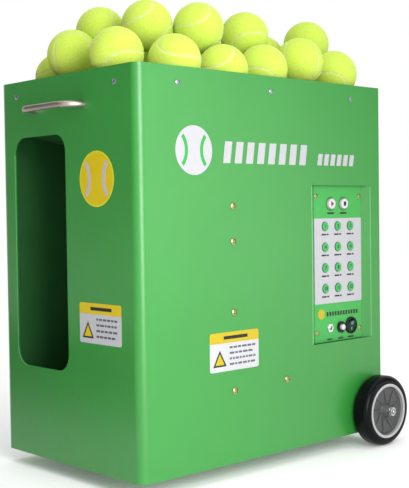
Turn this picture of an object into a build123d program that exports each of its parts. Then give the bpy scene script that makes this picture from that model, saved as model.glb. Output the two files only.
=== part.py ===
from build123d import *
import os
from math import acos, atan2, cos, pi, radians, sin, sqrt, tan

# Tennis ball machine: a sheet-metal cabinet on two rear wheels and two front feet, with an open
# ball hopper on top, a rotating feed rotor, and a two-wheel throwing head that turns and tilts
# behind the outlet. Millimetres, +Z up, -Y is the ball outlet side, +X the control panel side.
# The origin is on the ground under the middle of the cabinet.

# ---------------------------------------------------------------- driving dimensions
WIDTH, LENGTH, HEIGHT = 290.0, 450.0, 492.0      # cabinet, outside
GROUND_GAP = 19.0                                # ground to cabinet bottom
SHEET = 2.0                                      # sheet-metal thickness
BEND_R = 12.0                                    # outer radius of the two front vertical bends
FIT = 0.06                                       # radial clearance of running fits
NEST = 0.2                                       # gap between sheets that nest in each other
CLEAR = 0.4                                      # gap between a key and its hole

BALL_R = 33.5

OUTLET_X, OUTLET_Z = (-112.0, 3.0), (137.0, 437.0)
OUTLET_CORNER = 22.0
HEAD_X = sum(OUTLET_X) / 2                       # middle plane of outlet and throwing head

TOP_SCREW_Z = 491.5
FRONT_SCREW_X = 105.0
SIDE_SCREW_Y = (-161.5, 0.0, 161.5)
SIDE_BOLTS = ((-72.0, 343.5), (-72.0, 299.0), (-72.0, 210.0), (-72.0, 111.0), (25.0, 114.0))

HANDLE_X, HANDLE_Z, HANDLE_HALF = -10.0, 470.0, 50.5
HANDLE_REACH, HANDLE_BEND_R = 30.0, 16.0
HANDLE_DEEP, HANDLE_HIGH = 5.5, 4.0               # half sizes of the oval bar

ROAD_WHEEL_R, ROAD_WHEEL_W = 49.5, 28.0
WHEEL_MID_X = 161.0                              # middle of a road wheel's tread
HUB_OUTER_R = 35.5
HUB_BOSS_R, HUB_BOSS_END = 9.0, 4.0               # boss, and how far it stands out of the tyre
CAP_R, CAP_L = 7.0, 8.0
AXLE_Y, AXLE_R = 204.0, 6.0
FOOT_XY, FOOT_R = (72.0, -148.0), 14.0

RECESS_Y, RECESS_Z = (77.7, 204.1), (153.5, 370.2)
RECESS_FLAT_Y = (89.7, 191.7)                    # flat floor between the two sloped walls
PANEL_X = 137.5                                  # outer face of the control panel plate
PANEL_T = 1.5
OVERLAY_Z = (207.0, 325.0)
KEY_COLUMNS, KEY_ROWS = (112.5, 139.5, 166.7), (314.0, 285.2, 256.5, 227.9)
KEY_R, KEY_REACH, ROUND_BUTTON_REACH = 6.4, 1.6, 3.5
START_YZ, STOP_YZ, ROUND_BUTTON_R = (125.3, 345.2), (152.5, 345.2), 7.2
PANEL_SCREWS = [(y, z) for y in (94.8, 186.8) for z in (167.5, 355.5)]
JACK_YZ, BREAKER_YZ, POWER_YZ = (120.8, 172.5), (145.0, 172.1), (166.8, 172.8)
JACK_HOLE_R, BREAKER_HOLE_R, POWER_HOLE_R = 4.1, 5.6, 10.6
JACK_BORE_R, JACK_BORE_L = 2.75, 9.0
JACK_R, BREAKER_R, PLUNGER_R = 4.0, 8.0, 4.0
BEZEL_R, BEZEL_BORE_R, ROCKER_R = 12.0, 9.6, 8.6
ROCKER_TILT = 10.0                               # power switch at rest, off side pressed in
BOARD_X, BOARD_Y, BOARD_Z = (116.0, 117.6), (98.0, 184.0), (210.5, 357.5)
SPACER_INSET, SPACER_R = 4.0, 2.5                # spacers between the board and the panel

SCREW_R, SCREW_HEAD_R, SCREW_HEAD_T = 2.0, 3.5, 1.8
BOLT_R, BOLT_HEAD_R, BOLT_HEAD_T = 2.5, 4.5, 2.6
HOLE_GAP = 0.15                                  # radial clearance of screw and bolt holes
REAR_SCREW_Z = (75.5, 265.5, 435.5)
BRACKET_T = 3.0
BRACKET_YZ = ((-84.0, 95.5), (38.0, 95.5), (38.0, 127.5), (-60.0, 127.5), (-60.0, 359.5), (-84.0, 359.5))
STUD_R, HANDLE_NUT_R = 2.5, 4.6

BATTERY_X, BATTERY_Y, BATTERY_TOP = (22.0, 99.0), (5.0, 186.0), 187.5
STRAP_Y = (85.0, 105.0)

# throwing head
NIP_Y, NIP_Z = -85.0, 234.0                      # point where the two throw wheels grip the ball
THROW_R, THROW_W, THROW_OFFSET = 62.0, 45.0, 89.0
HUB_R, SHAFT_R = 40.0, 4.0
CHEEK_X, CHEEK_T = 40.0, 3.0                     # tilting cheek plates, from the head's middle plane
YOKE_X, YOKE_T = 55.0, 3.0                       # turning yoke plates, from the head's middle plane
TRUNNION_R = 6.0
TURN_Y = -125.0                                  # vertical turning axis of the yoke
YOKE_FLOOR_Z, YOKE_FLOOR_T = 53.5, 4.0
KINGPIN_R, KINGPIN_COLLAR_R = 8.0, 14.0
TRAY_DROP = 4.0                                  # tray under the ball's lowest point
MOTOR_R, MOTOR_L = 20.0, 70.0
GEARMOTOR_R, GEARMOTOR_L, PINION_SHAFT_R = 15.0, 45.0, 3.0

# gears
MODULE, PRESSURE, BACKLASH = 1.5, radians(20), 0.3
PINION_TEETH, TURN_TEETH, TILT_TEETH = 15, 80, 60
GEAR_T = 6.0
TILT_PINION_ANGLE = 160.0                        # seen from +X, from the rear upwards

# ball feed
BOWL_HALF = 114.0                                # half the width across the flats of the octagonal bowl
FEED_FLOOR_Z, FEED_FLOOR_T = 375.5, 2.0          # top and thickness of the bowl floor
BOWL_TOP_Z, FUNNEL_TOP_Z, FLANGE_TOP_Z = 402.5, 450.5, 507.5
FUNNEL_DROP = 3.0                                # thickness of the funnel sheets, measured upright
ROTOR_R, ROTOR_T, ROTOR_HUB_R, ARM_W = 111.0, 24.0, 35.0, 11.0
ARMS, POCKET_CIRCLE_R = 5, 72.0                  # ball pockets lie between the arms
FEED_MOTOR_R, FEED_MOTOR_L, FEED_SHAFT_R = 14.0, 78.0, 5.0
CHUTE_HALF, CHUTE_T, CHUTE_FRONT_Y, CHUTE_SLOPE = 38.0, 2.0, -17.0, 0.14
CHUTE_WALL_Z = (235.5, 257.5)                    # top of the channel's sides, front and rear
CHUTE_LEG_Y = (20.0, 150.0)
CHUTE_FRONT_Z, CHUTE_ROOF_Z = 199.5, 295.5

# ---------------------------------------------------------------- derived places
BOTTOM, TOP = GROUND_GAP, GROUND_GAP + HEIGHT
HALF_W, HALF_L = WIDTH / 2, LENGTH / 2
INNER_X, FRONT_IN = HALF_W - SHEET, -HALF_L + SHEET
REAR_IN = HALF_L - SHEET
HOPPER_X = INNER_X - NEST                        # outer faces of the hopper's upright flanges
HOPPER_FRONT, HOPPER_REAR = FRONT_IN + NEST, REAR_IN - SHEET - NEST
FEED_Y = HOPPER_REAR - SHEET - BOWL_HALF         # rotor axis (x = 0)
DROP_Y = FEED_Y + sqrt(POCKET_CIRCLE_R**2 - HEAD_X**2)
PINION_R = PINION_TEETH * MODULE / 2
TURN_R, TILT_R = TURN_TEETH * MODULE / 2, TILT_TEETH * MODULE / 2
TURN_PINION_X = HEAD_X + TURN_R + PINION_R
TILT_PINION_Y = NIP_Y + (TILT_R + PINION_R) * cos(radians(TILT_PINION_ANGLE))
TILT_PINION_Z = NIP_Z + (TILT_R + PINION_R) * sin(radians(TILT_PINION_ANGLE))


# ---------------------------------------------------------------- small tools
def block(x, y, z):
    """Box from three (low, high) spans."""
    size = [high - low for low, high in (x, y, z)]
    return Pos(*[(low + high) / 2 for low, high in (x, y, z)]) * Box(*size)


def rod(start, end, radius):
    """Round bar between two points."""
    start, end = Vector(*start), Vector(*end)
    return extrude(Plane(origin=start, z_dir=end - start) * Circle(radius), (end - start).length)


def rod_x(x, y, z, radius):
    return rod((x[0], y, z), (x[1], y, z), radius)


def rod_z(x, y, z, radius):
    return rod((x, y, z[0]), (x, y, z[1]), radius)


def side_plane(x):
    """Sketch plane facing +X: sketch x runs along +Y, sketch y along +Z."""
    return Plane(origin=(x, 0, 0), x_dir=(0, 1, 0), z_dir=(1, 0, 0))


def side_plate(outline, x, thickness):
    """Plate in the YZ plane from its corner points, grown towards +X."""
    return extrude(side_plane(x) * make_face(Polyline(*outline, close=True)), thickness)


def group(pieces):
    """Separate solids kept in one node."""
    return Compound([solid for piece in pieces for solid in piece.solids()])


def mirror_x(piece):
    return mirror(piece, about=Plane.YZ)


def ring_x(x, y, z, outer, inner):
    return rod_x(x, y, z, outer) - rod_x((x[0] - 1, x[1] + 1), y, z, inner)


def gear_face(teeth, turn=0.0):
    """Involute gear outline about the origin, with one tooth centred at the angle turn."""
    pitch_r = teeth * MODULE / 2
    base_r = pitch_r * cos(PRESSURE)
    tip_r, root_r = pitch_r + 0.8 * MODULE, pitch_r - 1.25 * MODULE
    half = (pi * MODULE / 2 - BACKLASH) / (2 * pitch_r) + tan(PRESSURE) - PRESSURE
    start_r = max(base_r, root_r)
    points = []
    for tooth in range(teeth):
        centre = radians(turn) + 2 * pi * tooth / teeth
        flank = []
        for step in range(5):
            r = start_r + (tip_r - start_r) * step / 4
            roll = acos(min(1.0, base_r / r))
            flank.append((r, half - (tan(roll) - roll)))
        if base_r > root_r:
            flank.insert(0, (root_r, half))
        points += [(r * cos(centre - a), r * sin(centre - a)) for r, a in flank]
        points += [(r * cos(centre + a), r * sin(centre + a)) for r, a in reversed(flank)]
    return make_face(Polyline(*points, close=True))


def sector_face(teeth, low, high, turn):
    """Toothed sector between two angles, with a round boss at its centre."""
    reach = teeth * MODULE
    wedge = [(0, 0)]
    wedge += [(reach * cos(radians(a)), reach * sin(radians(a))) for a in (low, (low + high) / 2, high)]
    return gear_face(teeth, turn) & make_face(Polyline(*wedge, close=True)) + Circle(14)


# ---------------------------------------------------------------- cabinet
def u_block(half_x, front_y, rear_y, z, corner_r):
    """Block whose two front vertical edges are rounded."""
    body = block((-half_x, half_x), (front_y, rear_y), z)
    front = body.edges().filter_by(Axis.Z).sort_by(Axis.Y)[:2]
    return fillet(front, corner_r)


def recess_profile(grow):
    """Plan outline of the panel recess: sloped end walls, flat floor; grow adds wall thickness."""
    floor_x = PANEL_X - PANEL_T - grow
    out_x = HALF_W + (0.2 if grow == 0 else 0)
    low, high = RECESS_Y
    flat_low, flat_high = RECESS_FLAT_Y
    return [(out_x, low - grow), (PANEL_X, flat_low - grow), (floor_x, flat_low - grow),
            (floor_x, flat_high + grow), (PANEL_X, flat_high + grow), (out_x, high + grow)]


def recess_block(grow):
    low, high = RECESS_Z
    face = make_face(Polyline(*recess_profile(grow), close=True))
    return extrude(Pos(0, 0, low - grow) * face, high - low + 2 * grow)


def outer_shell():
    shell = u_block(HALF_W, -HALF_L, HALF_L, (BOTTOM, TOP), BEND_R)
    shell -= u_block(INNER_X, FRONT_IN, REAR_IN, (BOTTOM - 1, TOP + 1), BEND_R - SHEET)
    shell -= block((-INNER_X + 15, INNER_X - 15), (REAR_IN - 1, HALF_L + 1), (BOTTOM - 1, TOP + 1))
    outlet = Plane.XZ * (Pos(HEAD_X, sum(OUTLET_Z) / 2) * RectangleRounded(
        OUTLET_X[1] - OUTLET_X[0], OUTLET_Z[1] - OUTLET_Z[0], OUTLET_CORNER))
    shell -= Pos(0, -HALF_L + 10, 0) * extrude(outlet, 20)
    shell += recess_block(PANEL_T)
    shell -= recess_block(0)
    window_y = (RECESS_FLAT_Y[0] + 10, RECESS_FLAT_Y[1] - 10)
    window_z = (RECESS_Z[0] + 8, RECESS_Z[1] - 8)
    shell -= block((PANEL_X - 8, PANEL_X), window_y, window_z)
    for start, end, _ in top_screw_axes() + rear_screw_axes():
        shell -= rod(start, end, SCREW_R + HOLE_GAP)
    for start, end, _ in side_bolt_axes():
        shell -= rod(start, end, BOLT_R + HOLE_GAP)
    for side in (-1, 1):
        wall_x, stud_x = sorted((side * (HALF_W - 5), side * (HALF_W + 5))), HANDLE_X + side * HANDLE_HALF
        shell -= rod_x(wall_x, AXLE_Y, ROAD_WHEEL_R, AXLE_R + HOLE_GAP)
        shell -= rod((stud_x, -HALF_L - 5, HANDLE_Z), (stud_x, -HALF_L + 5, HANDLE_Z), STUD_R + HOLE_GAP)
    for y, z in PANEL_SCREWS:
        shell -= rod_x((PANEL_X - 5, PANEL_X), y, z, SCREW_R + HOLE_GAP)
    return shell


def rear_panel():
    half = INNER_X - NEST
    panel = block((-half, half), (REAR_IN - SHEET, REAR_IN), (BOTTOM + SHEET, TOP))
    for start, end, _ in rear_screw_axes():
        panel -= rod(start, end, SCREW_R + HOLE_GAP)
    return panel


def base_plate():
    """Floor sheet with four upright stiffening strips."""
    half, front, rear = INNER_X - NEST, FRONT_IN + NEST, REAR_IN - SHEET - NEST
    inset, strip_z = BEND_R - SHEET, (BOTTOM + SHEET, BOTTOM + 14)
    plate = u_block(half, front, REAR_IN, (BOTTOM, BOTTOM + SHEET), inset - NEST)
    for side in (-1, 1):
        plate -= rod_z(side * FOOT_XY[0], FOOT_XY[1], (BOTTOM - 1, BOTTOM + 5), 3.2)
    right = block((half - SHEET, half), (front + inset, rear), strip_z)
    across = (-half + inset, half - inset)
    ends = [block(across, (y, y + SHEET), strip_z) for y in (front, rear - SHEET)]
    return group([plate, right, mirror_x(right), *ends])


def octagon(half_width):
    """Corner points of the octagonal bowl about the rotor axis, counter-clockwise from +X."""
    reach = half_width / cos(pi / 8)
    angles = [pi / 8 + k * pi / 4 for k in range(8)]
    return [(reach * cos(a), FEED_Y + reach * sin(a)) for a in angles]


def funnel_outlines():
    """Flat sheets from the upright flanges down to the bowl, as corner points; the rear has none."""
    x, front, rear = HOPPER_X - SHEET, HOPPER_FRONT + SHEET, HOPPER_REAR - SHEET
    cut = BEND_R - SHEET - NEST - SHEET
    rims = {0: [(x, rear)], 2: [(-x, rear)], 3: [(-x, front + cut), (-x, rear)],
            4: [(-x + cut, front), (-x, front + cut)], 5: [(x - cut, front), (-x + cut, front)],
            6: [(x, front + cut), (x - cut, front)], 7: [(x, rear), (x, front + cut)]}
    corners = octagon(BOWL_HALF)
    return [[(*corners[k], BOWL_TOP_Z), (*corners[(k + 1) % 8], BOWL_TOP_Z)]
            + [(*rim, FUNNEL_TOP_Z) for rim in rims[k]] for k in rims]


def hopper():
    """Seven sloped funnel sheets and four upright flanges, edge to edge."""
    sheets = [extrude(make_face(Polyline(*outline, close=True)), FUNNEL_DROP, dir=(0, 0, -1))
              for outline in funnel_outlines()]
    inset = BEND_R - SHEET
    across = (-HOPPER_X + inset, HOPPER_X - inset)
    flange_z = (FUNNEL_TOP_Z, FLANGE_TOP_Z)
    front = block(across, (HOPPER_FRONT, HOPPER_FRONT + SHEET), flange_z)
    rear_z = (BOWL_TOP_Z - FUNNEL_DROP, FLANGE_TOP_Z)
    rear = block((-HOPPER_X, HOPPER_X), (HOPPER_REAR - SHEET, HOPPER_REAR), rear_z)
    right = block((HOPPER_X - SHEET, HOPPER_X), (HOPPER_FRONT + inset, HOPPER_REAR - SHEET), flange_z)
    flanges = [front, rear, right, mirror_x(right)]
    for start, end, _ in top_screw_axes() + rear_screw_axes():
        flanges = [flange - rod(start, end, SCREW_R + HOLE_GAP) for flange in flanges]
    for side in (-1, 1):
        x = HANDLE_X + side * HANDLE_HALF
        flanges[0] -= rod((x, -HALF_L - 1, HANDLE_Z), (x, -HALF_L + 12, HANDLE_Z), HANDLE_NUT_R + CLEAR)
    return group(sheets + flanges)


# ---------------------------------------------------------------- fasteners
def top_screw_axes():
    """(outside start, inside end, outward direction) of the screws that hold the hopper."""
    axes = []
    for side in (-1, 1):
        x = side * FRONT_SCREW_X
        axes.append(((x, -HALF_L - 1, TOP_SCREW_Z), (x, -HALF_L + 9, TOP_SCREW_Z), (0, -1, 0)))
        for y in SIDE_SCREW_Y:
            start = (side * (HALF_W + 1), y, TOP_SCREW_Z)
            axes.append((start, (side * (HALF_W - 9), y, TOP_SCREW_Z), (side, 0, 0)))
    return axes


def rear_screw_axes():
    return [((side * (INNER_X - 7), HALF_L + 1, z), (side * (INNER_X - 7), HALF_L - 9, z), (0, 1, 0))
            for side in (-1, 1) for z in REAR_SCREW_Z]


def side_bolt_axes():
    return [((side * (HALF_W + 1), y, z), (side * (HALF_W - 12), y, z), (side, 0, 0))
            for side in (-1, 1) for y, z in SIDE_BOLTS]


def pan_screw(face, outward, length, shank_r, head_r, head_t):
    """Domed screw whose head rests on the point face; the shank goes inwards."""
    face, outward = Vector(*face), Vector(*outward)
    head = rod(face, face + outward * head_t, head_r)
    rim = head.edges().filter_by(GeomType.CIRCLE).sort_by(lambda e: (e.center() - face).dot(outward))[-1]
    head = fillet(rim, head_t * 0.7)
    return head + rod(face - outward * length, face + outward * 0.5, shank_r)


def cabinet_screws():
    screws = []
    for start, _, outward in top_screw_axes() + rear_screw_axes():
        face = Vector(*start) - Vector(*outward)
        screws.append(pan_screw(face, outward, 6.5, SCREW_R, SCREW_HEAD_R, SCREW_HEAD_T))
    return group(screws)


def frame_bolts():
    bolts = []
    for start, _, outward in side_bolt_axes():
        face = Vector(*start) - Vector(*outward)
        bolt = pan_screw(face, outward, 11, BOLT_R, BOLT_HEAD_R, BOLT_HEAD_T)
        nut_seat = face - Vector(*outward) * (SHEET + BRACKET_T)
        nut = extrude(Plane(origin=nut_seat, z_dir=-Vector(*outward)) * RegularPolygon(4.6, 6), 4)
        bolts.append(bolt + nut)
    return group(bolts)


def side_brackets():
    """L-shaped stiffeners inside both walls, behind the side bolts."""
    right = side_plate(BRACKET_YZ, INNER_X - BRACKET_T, BRACKET_T)
    for y, z in SIDE_BOLTS:
        right -= rod_x((INNER_X - 5, INNER_X + 1), y, z, BOLT_R + HOLE_GAP)
    return group([right, mirror_x(right)])


# ---------------------------------------------------------------- handle, wheels, feet
def carry_handle():
    """Bow handle of flat-oval bar on two studs through the front wall."""
    left, right = HANDLE_X - HANDLE_HALF, HANDLE_X + HANDLE_HALF
    far = -HALF_L - HANDLE_REACH + HANDLE_DEEP
    path = FilletPolyline((left, -HALF_L, HANDLE_Z), (left, far, HANDLE_Z), (right, far, HANDLE_Z),
                          (right, -HALF_L, HANDLE_Z), radius=HANDLE_BEND_R)
    start = Plane(origin=(left, -HALF_L, HANDLE_Z), x_dir=(1, 0, 0), z_dir=(0, -1, 0))
    bow = sweep(start * Ellipse(HANDLE_DEEP, HANDLE_HIGH), path=path)
    for x in (left, right):
        bow += rod((x, -HALF_L - 4, HANDLE_Z), (x, -HALF_L + 10, HANDLE_Z), STUD_R)
        bow += rod((x, FRONT_IN, HANDLE_Z), (x, FRONT_IN + 4, HANDLE_Z), HANDLE_NUT_R)
    return bow


def road_tyre():
    low, high = WHEEL_MID_X - ROAD_WHEEL_W / 2, WHEEL_MID_X + ROAD_WHEEL_W / 2
    tyre = ring_x((low, high), AXLE_Y, ROAD_WHEEL_R, ROAD_WHEEL_R, HUB_OUTER_R)
    outer = tyre.edges().filter_by(GeomType.CIRCLE).sort_by(lambda e: e.radius)[-2:]
    return fillet(outer, 8)


def road_hub():
    """Dished hub: rim, recessed web with eight ribs, boss that stands out to the axle cap."""
    low, high = WHEEL_MID_X - ROAD_WHEEL_W / 2 + 1, WHEEL_MID_X + ROAD_WHEEL_W / 2 - 2
    boss_end = WHEEL_MID_X + ROAD_WHEEL_W / 2 + HUB_BOSS_END
    hub = ring_x((low, high), AXLE_Y, ROAD_WHEEL_R, HUB_OUTER_R, HUB_OUTER_R - 3)
    hub += rod_x((WHEEL_MID_X - 3, WHEEL_MID_X + 3), AXLE_Y, ROAD_WHEEL_R, HUB_OUTER_R - 2)
    hub += rod_x((low - 0.5, boss_end), AXLE_Y, ROAD_WHEEL_R, HUB_BOSS_R)
    for rib in range(8):
        plate = block((low + 2, high - 3), (-1.25, 1.25), (HUB_BOSS_R - 1, HUB_OUTER_R - 2))
        hub += Pos(0, AXLE_Y, ROAD_WHEEL_R) * (Rot(X=45 * rib) * plate)
    return hub - rod_x((low - 5, boss_end + 5), AXLE_Y, ROAD_WHEEL_R, AXLE_R + FIT)


def wheel_axle():
    half = WHEEL_MID_X + ROAD_WHEEL_W / 2 + HUB_BOSS_END + 4
    return rod_x((-half, half), AXLE_Y, ROAD_WHEEL_R, AXLE_R)


def axle_caps():
    """Domed push-on caps at the ends and plain spacers between hubs and cabinet."""
    seat = WHEEL_MID_X + ROAD_WHEEL_W / 2 + HUB_BOSS_END
    cap = rod_x((seat + 0.4, seat + CAP_L), AXLE_Y, ROAD_WHEEL_R, CAP_R)
    cap = fillet(cap.edges().filter_by(GeomType.CIRCLE).sort_by(Axis.X)[-1], 3.5)
    cap -= rod_x((seat, seat + 4), AXLE_Y, ROAD_WHEEL_R, AXLE_R)
    spacer = ring_x((HALF_W, WHEEL_MID_X - ROAD_WHEEL_W / 2 + 0.1), AXLE_Y, ROAD_WHEEL_R, HUB_BOSS_R, AXLE_R)
    return group([cap, spacer, mirror_x(cap), mirror_x(spacer)])


def front_feet():
    feet = []
    for side in (-1, 1):
        x, y = side * FOOT_XY[0], FOOT_XY[1]
        foot = Pos(x, y, BOTTOM / 2) * Cone(FOOT_R - 2, FOOT_R, BOTTOM)
        foot += rod_z(x, y, (BOTTOM - 1, BOTTOM + 9), 3)
        feet.append(foot)
    return group(feet)


# ---------------------------------------------------------------- control panel
def control_panel():
    panel = block((PANEL_X - PANEL_T, PANEL_X), (RECESS_FLAT_Y[0] + NEST, RECESS_FLAT_Y[1] - NEST),
                  (RECESS_Z[0] + NEST, RECESS_Z[1] - NEST))
    span = (PANEL_X - 5, PANEL_X + 5)
    for y in KEY_COLUMNS:
        for z in KEY_ROWS:
            panel -= rod_x(span, y, z, KEY_R + CLEAR)
    for y, z in (START_YZ, STOP_YZ):
        panel -= rod_x(span, y, z, ROUND_BUTTON_R + CLEAR)
    for y, z in PANEL_SCREWS:
        panel -= rod_x(span, y, z, SCREW_R + HOLE_GAP)
    for (y, z), radius in ((JACK_YZ, JACK_HOLE_R), (BREAKER_YZ, BREAKER_HOLE_R), (POWER_YZ, POWER_HOLE_R)):
        panel -= rod_x(span, y, z, radius)
    return panel


def keypad_overlay():
    overlay = block((PANEL_X, PANEL_X + 0.5), (RECESS_FLAT_Y[0] + 0.5, RECESS_FLAT_Y[1] - 0.5), OVERLAY_Z)
    for y in KEY_COLUMNS:
        for z in KEY_ROWS:
            overlay -= rod_x((PANEL_X - 1, PANEL_X + 2), y, z, KEY_R + CLEAR)
    return overlay


def panel_screws():
    return group([pan_screw((PANEL_X, y, z), (1, 0, 0), 5, SCREW_R, SCREW_HEAD_R, SCREW_HEAD_T)
                  for y, z in PANEL_SCREWS])


def key(y, z, radius, reach):
    """Push button: flanged stem behind the panel, softly edged cap in front of it."""
    cap = rod_x((PANEL_X - 6, PANEL_X + reach), y, z, radius)
    cap = fillet(cap.edges().filter_by(GeomType.CIRCLE).sort_by(Axis.X)[-1], min(0.8, reach / 2))
    return cap + rod_x((PANEL_X - 7.5, PANEL_X - 6), y, z, radius + 1.2)


def control_board():
    """Board with two blocks, two capacitors and four spacers."""
    rear, face = BOARD_X
    (left, right), (low, high) = BOARD_Y, BOARD_Z
    board = block(BOARD_X, BOARD_Y, BOARD_Z)
    board += block((rear - 11, rear), (left + 12, left + 37), (low + 10, low + 47))
    board += block((rear - 8, rear), (right - 39, right - 9), (low + 20, low + 35))
    for y, z in ((right - 24, low + 70), (left + 22, low + 75)):
        board += rod_x((rear - 16, rear), y, z, 7)
    for y in (left + SPACER_INSET, right - SPACER_INSET):
        for z in (low + SPACER_INSET, high - SPACER_INSET):
            board += rod_x((face, PANEL_X - 2 * PANEL_T), y, z, SPACER_R)
    return board


def charge_jack():
    y, z = JACK_YZ
    nut = extrude(side_plane(PANEL_X) * (Pos(y, z) * RegularPolygon(6.2, 6)), 2.2)
    jack = nut + rod_x((PANEL_X - 12, PANEL_X + 3.2), y, z, JACK_R)
    return jack - rod_x((PANEL_X + 3.2 - JACK_BORE_L, PANEL_X + 4), y, z, JACK_BORE_R)


def breaker_body():
    y, z = BREAKER_YZ
    body = rod_x((PANEL_X, PANEL_X + 2.5), y, z, BREAKER_R)
    body += rod_x((PANEL_X - 6, PANEL_X + 1), y, z, BREAKER_HOLE_R - 0.1)
    body += block((PANEL_X - 24, PANEL_X - 6), (y - 7, y + 7), (z - 7, z + 7))
    return body - rod_x((PANEL_X - 14, PANEL_X + 5), y, z, PLUNGER_R + CLEAR)


def breaker_plunger():
    y, z = BREAKER_YZ
    plunger = rod_x((PANEL_X - 9, PANEL_X + 6), y, z, PLUNGER_R)
    return fillet(plunger.edges().filter_by(GeomType.CIRCLE).sort_by(Axis.X)[-1], 1)


def power_bezel():
    y, z = POWER_YZ
    body = rod_x((PANEL_X, PANEL_X + 3), y, z, BEZEL_R)
    body = fillet(body.edges().filter_by(GeomType.CIRCLE).sort_by(Axis.X)[-1], 1.2)
    body += rod_x((PANEL_X - 16, PANEL_X + 1), y, z, POWER_HOLE_R - 0.1)
    return body - rod_x((PANEL_X - 12, PANEL_X + 5), y, z, BEZEL_BORE_R)


def power_rocker():
    """Round rocker with a shallow V face, resting in its off position."""
    y, z = POWER_YZ
    outline = [(-8, -5), (-8, 5), (3.6, ROCKER_R), (2.2, 0), (3.6, -ROCKER_R)]
    face = make_face(Polyline(*[(x, -v) for x, v in outline], close=True))
    slab = extrude(Plane(origin=(0, 9, 0), x_dir=(1, 0, 0), z_dir=(0, -1, 0)) * face, 18)
    rocker = slab & rod_x((-9, 5), 0, 0, ROCKER_R)
    return Pos(PANEL_X, y, z) * (Rot(Y=ROCKER_TILT) * rocker)


# ---------------------------------------------------------------- power
def battery():
    body = block(BATTERY_X, BATTERY_Y, (BOTTOM + SHEET, BATTERY_TOP))
    for y in (BATTERY_Y[0] + 20, BATTERY_Y[1] - 20):
        body += block((BATTERY_X[0] + 6, BATTERY_X[0] + 18), (y - 6, y + 6), (BATTERY_TOP, BATTERY_TOP + 6))
    return body


def battery_strap():
    """Steel strap over the battery, bent down on both sides to a foot on the base."""
    low, high = BATTERY_X
    top = BATTERY_TOP + SHEET
    strap = block((low - SHEET, high + SHEET), STRAP_Y, (BOTTOM + SHEET, top))
    strap -= block((low, high), (STRAP_Y[0] - 1, STRAP_Y[1] + 1), (BOTTOM, BATTERY_TOP))
    return strap + block((low - 14, low - SHEET), STRAP_Y, (BOTTOM + SHEET, BOTTOM + 2 * SHEET))


# ---------------------------------------------------------------- ball feed
def feed_bowl():
    """Octagonal bowl: eight upright sheets round a floor of four strips that leave a square drop hole."""
    floor_z = (FEED_FLOOR_Z - FEED_FLOOR_T, FEED_FLOOR_Z)
    inner, outer = octagon(BOWL_HALF), octagon(BOWL_HALF + SHEET)
    walls = []
    for k in range(8):
        nxt = (k + 1) % 8
        outline = Polyline(inner[k], inner[nxt], outer[nxt], outer[k], close=True)
        height = BOWL_TOP_Z - FUNNEL_DROP - floor_z[1]
        walls.append(extrude(Pos(0, 0, floor_z[1]) * make_face(outline), height))
    plate = extrude(Pos(0, 0, floor_z[0]) * make_face(Polyline(*outer, close=True)), FEED_FLOOR_T)
    reach = 2 * BOWL_HALF
    hole_x = (HEAD_X - CHUTE_HALF, HEAD_X + CHUTE_HALF)
    hole_y = (DROP_Y - CHUTE_HALF, DROP_Y + CHUTE_HALF)
    spans = [((-reach, hole_x[0]), (-reach, 2 * reach)), ((hole_x[1], reach), (-reach, 2 * reach)),
             (hole_x, (-reach, hole_y[0])), (hole_x, (hole_y[1], 2 * reach))]
    strips = [plate & block(x, y, floor_z) for x, y in spans]
    strips[1] -= rod_z(0, FEED_Y, (floor_z[0] - 1, floor_z[1] + 1), FEED_SHAFT_R + 1)
    return group(walls + strips)


def feed_rotor():
    """Star of straight arms that sweeps the balls round the bowl, with a domed hub and its shaft."""
    low = FEED_FLOOR_Z + 1
    first = atan2(DROP_Y - FEED_Y, HEAD_X) + pi / ARMS
    rotor = rod_z(0, 0, (low, low + ROTOR_T), ROTOR_HUB_R)
    for arm in range(ARMS):
        bar = block((0, ROTOR_R), (-ARM_W / 2, ARM_W / 2), (low, low + ROTOR_T))
        rotor += Rot(Z=(first + 2 * pi * arm / ARMS) * 180 / pi) * bar
    rotor += Pos(0, 0, low + ROTOR_T + 6) * Cone(18, 9, 12)
    return Pos(0, FEED_Y, 0) * (rotor + rod_z(0, 0, (FEED_FLOOR_Z - 28, low + 1), FEED_SHAFT_R))


def feed_gearmotor():
    top, r = FEED_FLOOR_Z - FEED_FLOOR_T, FEED_MOTOR_R
    can = rod_z(0, FEED_Y, (top - FEED_MOTOR_L, top), r)
    can += block((-r, 2 * r), (FEED_Y - r, FEED_Y + r), (top - 5, top))
    return can - rod_z(0, FEED_Y, (FEED_FLOOR_Z - 30, FEED_FLOOR_Z), FEED_SHAFT_R + FIT)


def chute_floor(y):
    return CHUTE_FRONT_Z + CHUTE_SLOPE * (y - CHUTE_FRONT_Y)


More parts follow.
